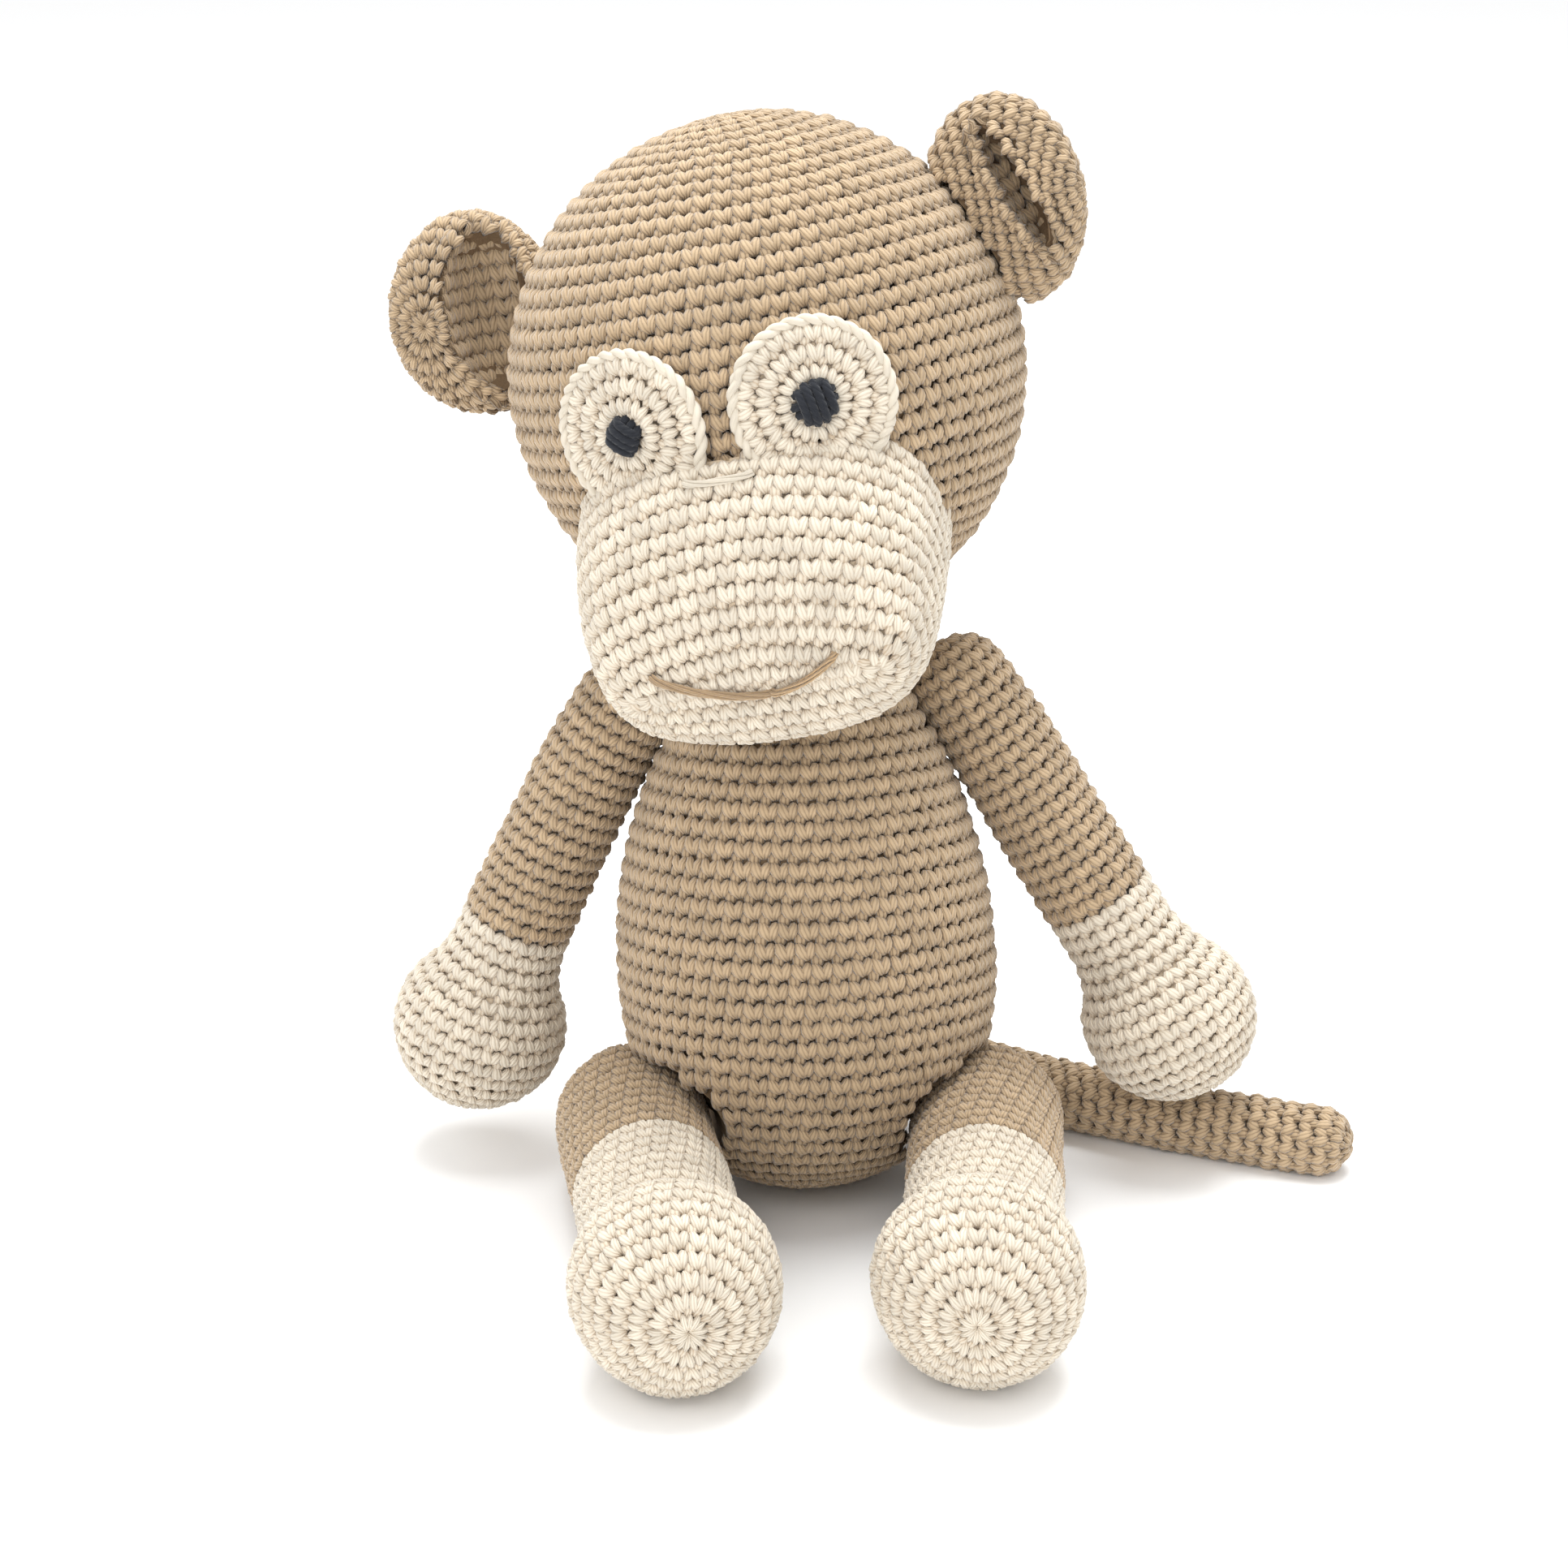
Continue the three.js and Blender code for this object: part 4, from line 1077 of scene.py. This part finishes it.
# Ears: the outside, and the cup's inside, share one skin
for side, seed in (("left", 51), ("right", 52)):
    outside, inside = stitchSites(evenGrid(earSurface(side), *ear["grid"]), "ear"), cupSites(side)
    apart, innerApart = (
        ~inBall(sites["place"], head["origin"], head["radius"] + room["ear"]) for sites in (outside, inside))
    sites = together([only(outside, apart & openAtCup(outside["place"], side)), only(inside, innerApart)])
    # The ear's lining is coloured dark as painted shade in the gaps and the cup
    behind = backing(camel("ear_lining_" + side), "ear_" + side, tanBehind, depth=1.6, inner=1.6)
    crochet("ear_" + side, "head", "tan", sites, seed, behind)

# Eye patches with a corded edge, and the pupils on them
rim = {
    "radius": 1.35, "offset": 0.6, "lay": 7.0, "strands": 2, "inset": 0.6, "sink": 0.9, "points": 180,
    "overlap": 0.6, "break": 3,
}
pupil = {
    "left": 4.7, "right": 4.1, "height": 1.725, "sink": 0.6, "strand": 1.1, "turn": 38, "crossing": 84,
    "places": (-0.66, -0.23, 0.23, 0.66), "stray": 0.35, "lengths": (0.85, 1.05), "points": 13,
    "edge": 1.15, "layer": 0.7, "dip": 1.3,
}


def patchRim(side):
    a = np.linspace(0, 2 * np.pi, rim["points"], endpoint=False)
    reach, wide = head["radius"] + eye["lift"] - rim["sink"], eye["radius"] - rim["inset"]
    high = np.full(rim["points"], math.sqrt(reach ** 2 - wide ** 2))
    ring = placed(np.stack([wide * np.cos(a), wide * np.sin(a), high], -1), eyeTurn(side), head["origin"])
    ring = ring[clearOfMuzzle(ring)]
    gaps = np.linalg.norm(np.diff(ring, axis=0), axis=1)
    cutAt = int(np.argmax(gaps)) + 1 if gaps.max() > rim["break"] else 0
    return np.roll(ring, -cutAt, axis=0)


# Two layers of strands that cross each other, a little uneven
def pupilLines(side, random):
    lines, radius, stray = [], pupil[side], pupil["stray"]
    top = head["radius"] + eye["lift"] - pupil["sink"]
    t = np.linspace(-1, 1, pupil["points"])
    for layer, angle in enumerate((pupil["turn"], pupil["turn"] + pupil["crossing"])):
        angle = math.radians(angle)
        for off in pupil["places"]:
            off = off * radius + random.uniform(-stray, stray)
            half = math.sqrt(radius ** 2 - off ** 2) * random.uniform(*pupil["lengths"])
            x = t * half * math.cos(angle) - off * math.sin(angle)
            y = t * half * math.sin(angle) + off * math.cos(angle)
            dome = np.sqrt(np.maximum(1 - (x ** 2 + y ** 2) / (radius * pupil["edge"]) ** 2, 0))
            z = top + pupil["height"] * dome + pupil["layer"] * layer - pupil["dip"] * np.abs(t) ** 5
            lines.append(placed(np.stack([x, y, z], -1), eyeTurn(side), head["origin"]))
    return lines


for side, seed in (("left", 61), ("right", 62)):
    sites = stitchSites(evenGrid(eyeSurface(side)), "patch", start=0.24)
    cord = strandObject(
        camel("rim_" + side), twisted(patchRim(side), rim), rim["radius"] - rim["offset"] * rim["overlap"],
        creamThread)
    crochet("eye_patch_" + side, "head", "cream", only(sites, clearOfMuzzle(sites["place"])), seed,
            extras=[cord])
    node = "pupil_" + side
    lines = pupilLines(side, np.random.default_rng(seed))
    dot = strandObject(camel("pupil_yarn_" + side), lines, pupil["strand"], blackYarn)
    # The pupil's core, darker than its yarn as painted shade between the strands
    core = backing(camel("pupil_core_" + side), node, blackInside, depth=1.4, inner=1.0)
    finishPiece(joined(camel(node), [dot, core]), "head", node)

# The smile, two long stitches, and the nose, one: loosely twisted yarn laid on the muzzle
smile = {
    "stitches": [[(-22.5, 5.5), (-14, 2.2), (-5.5, -0.7), (3.7, -2.4)], [(3.3, -2.4), (11.5, 0.2), (20, 4.7)]],
    "strands": 5, "offset": 0.62, "radius": 0.36, "lay": 46.0, "lift": 0.9, "dip": 1.3, "ends": 12,
    "points": 24,
}
nose = {
    "half": 8.0, "turn": 17.0, "strands": 4, "offset": 0.55, "radius": 0.42, "lay": 40.0, "lift": 0.9,
    "dip": 1.2, "ends": 4, "points": 25,
}


# How far forward the muzzle's surface lies, at a place across and up
def muzzleReach(across, up, halvings=40):
    low, high = 0.0, math.pi / 2
    power = 2 / muzzle["corners"]
    for _ in range(halvings):
        turn = (low + high) / 2
        edge, rise = muzzlePoint(turn, 0.0)[0], muzzlePoint(turn, math.copysign(math.pi / 2, up))[1]
        if abs(across / edge) ** power + abs(up / rise) ** power < 1:
            low = turn
        else:
            high = turn
    return muzzle["length"] * math.sin(low)


# A thread on the muzzle, its ends drawn in
def threadPath(spots, look):
    spots[:, 2] -= look["dip"] * np.abs(np.linspace(-1, 1, len(spots))) ** look["ends"]
    return placed(spots, muzzleTurn, muzzleOrigin)


def smilePaths():
    lift = smile["lift"]
    return [
        threadPath(throughPoints([(x, y, muzzleReach(x, y) + lift) for x, y in spots], smile["points"]), smile)
        for spots in smile["stitches"]]


def nosePaths():
    count = nose["points"]
    spots = muzzlePoint(np.full(count, math.radians(nose["turn"])), np.full(count, math.pi / 2), nose["lift"])
    spots[:, 0] = np.linspace(-1, 1, count) * nose["half"]
    return [threadPath(spots, nose)]


for name, node, paths, look, colour in (
        ("smile", "mouth_stitch", smilePaths(), smile, "mouth"),
        ("noseStitch", "nose_stitch", nosePaths(), nose, "thread")):
    lines = [line for path in paths for line in twisted(path, look)]
    thread = strandObject(name, lines, look["radius"], yarns[colour][0])
    thread.data.name = name
    finishPiece(thread, "head", node)
print("face made")

# Filling: the frame's own stuffing, softened and ruffled
filling = {"inset": 1.5, "ruffle": 0.4, "longest": 0.006, "waves": (610, 270, 540, 150)}


def ruffled(vert, middle):
    x, y, z = vert.co
    a, b, c, d = filling["waves"]
    return -filling["inset"] - filling["ruffle"] * (math.sin(x * a + y * b) * math.sin(z * c + x * d))


for bodyName, members in frame["record"]["behaviour"]["bodies"].items():
    for node in members:
        if "stuffing" in node:
            name = camel(node.replace("stuffing", "filling"))
            thing = fromFrame(name, node, fillWhite, ruffled, filling["longest"])
            for polygon in thing.data.polygons:
                polygon.use_smooth = True
            finishPiece(thing, bodyName, node)
bpy.data.objects.remove(stitchShape)
print("pieces:", len(made))

# Floor and light
studio = {
    "floor": (0.95, 0.95, 0.95), "rough": 0.9, "half": 3, "world": 0.95, "aim": (0, 0, 0.12),
    # place in metres, size, power and colour
    "lights": [
        ("key", (-0.45, -0.95, 0.8), 0.9, 4.0, (1, 1, 1)), ("fill", (0.1, -1.2, 0.2), 1.0, 2.3, (1, 1, 1)),
        ("top", (0.05, 0.2, 1.2), 0.8, 16.5, (0.95, 0.98, 1.0))],
}


def addStudio():
    half = studio["half"]
    floor = meshFrom("floor", [(-half, -half, 0), (half, -half, 0), (half, half, 0), (-half, half, 0)],
                     [(0, 1, 2, 3)])
    material = bpy.data.materials.new("paleFloor")
    material.use_nodes = True
    shader = material.node_tree.nodes["Principled BSDF"].inputs
    shader["Base Color"].default_value = studio["floor"] + (1,)
    shader["Roughness"].default_value = studio["rough"]
    floor.data.materials.append(material)
    world = bpy.data.worlds.new("studio")
    bpy.context.scene.world = world
    world.use_nodes = True
    background = world.node_tree.nodes["Background"].inputs
    background["Color"].default_value = (1, 1, 1, 1)
    background["Strength"].default_value = studio["world"]
    for name, place, size, power, colour in studio["lights"]:
        data = bpy.data.lights.new(name, "AREA")
        data.size, data.energy, data.color = size, power, colour
        lamp = newThing(name, data)
        lamp.location = place
        aim = Vector(studio["aim"]) - Vector(place)
        lamp.rotation_euler = aim.to_track_quat("-Z", "Y").to_euler()


addStudio()
bpy.context.scene.view_settings.view_transform = "Standard"
print("scene ready")
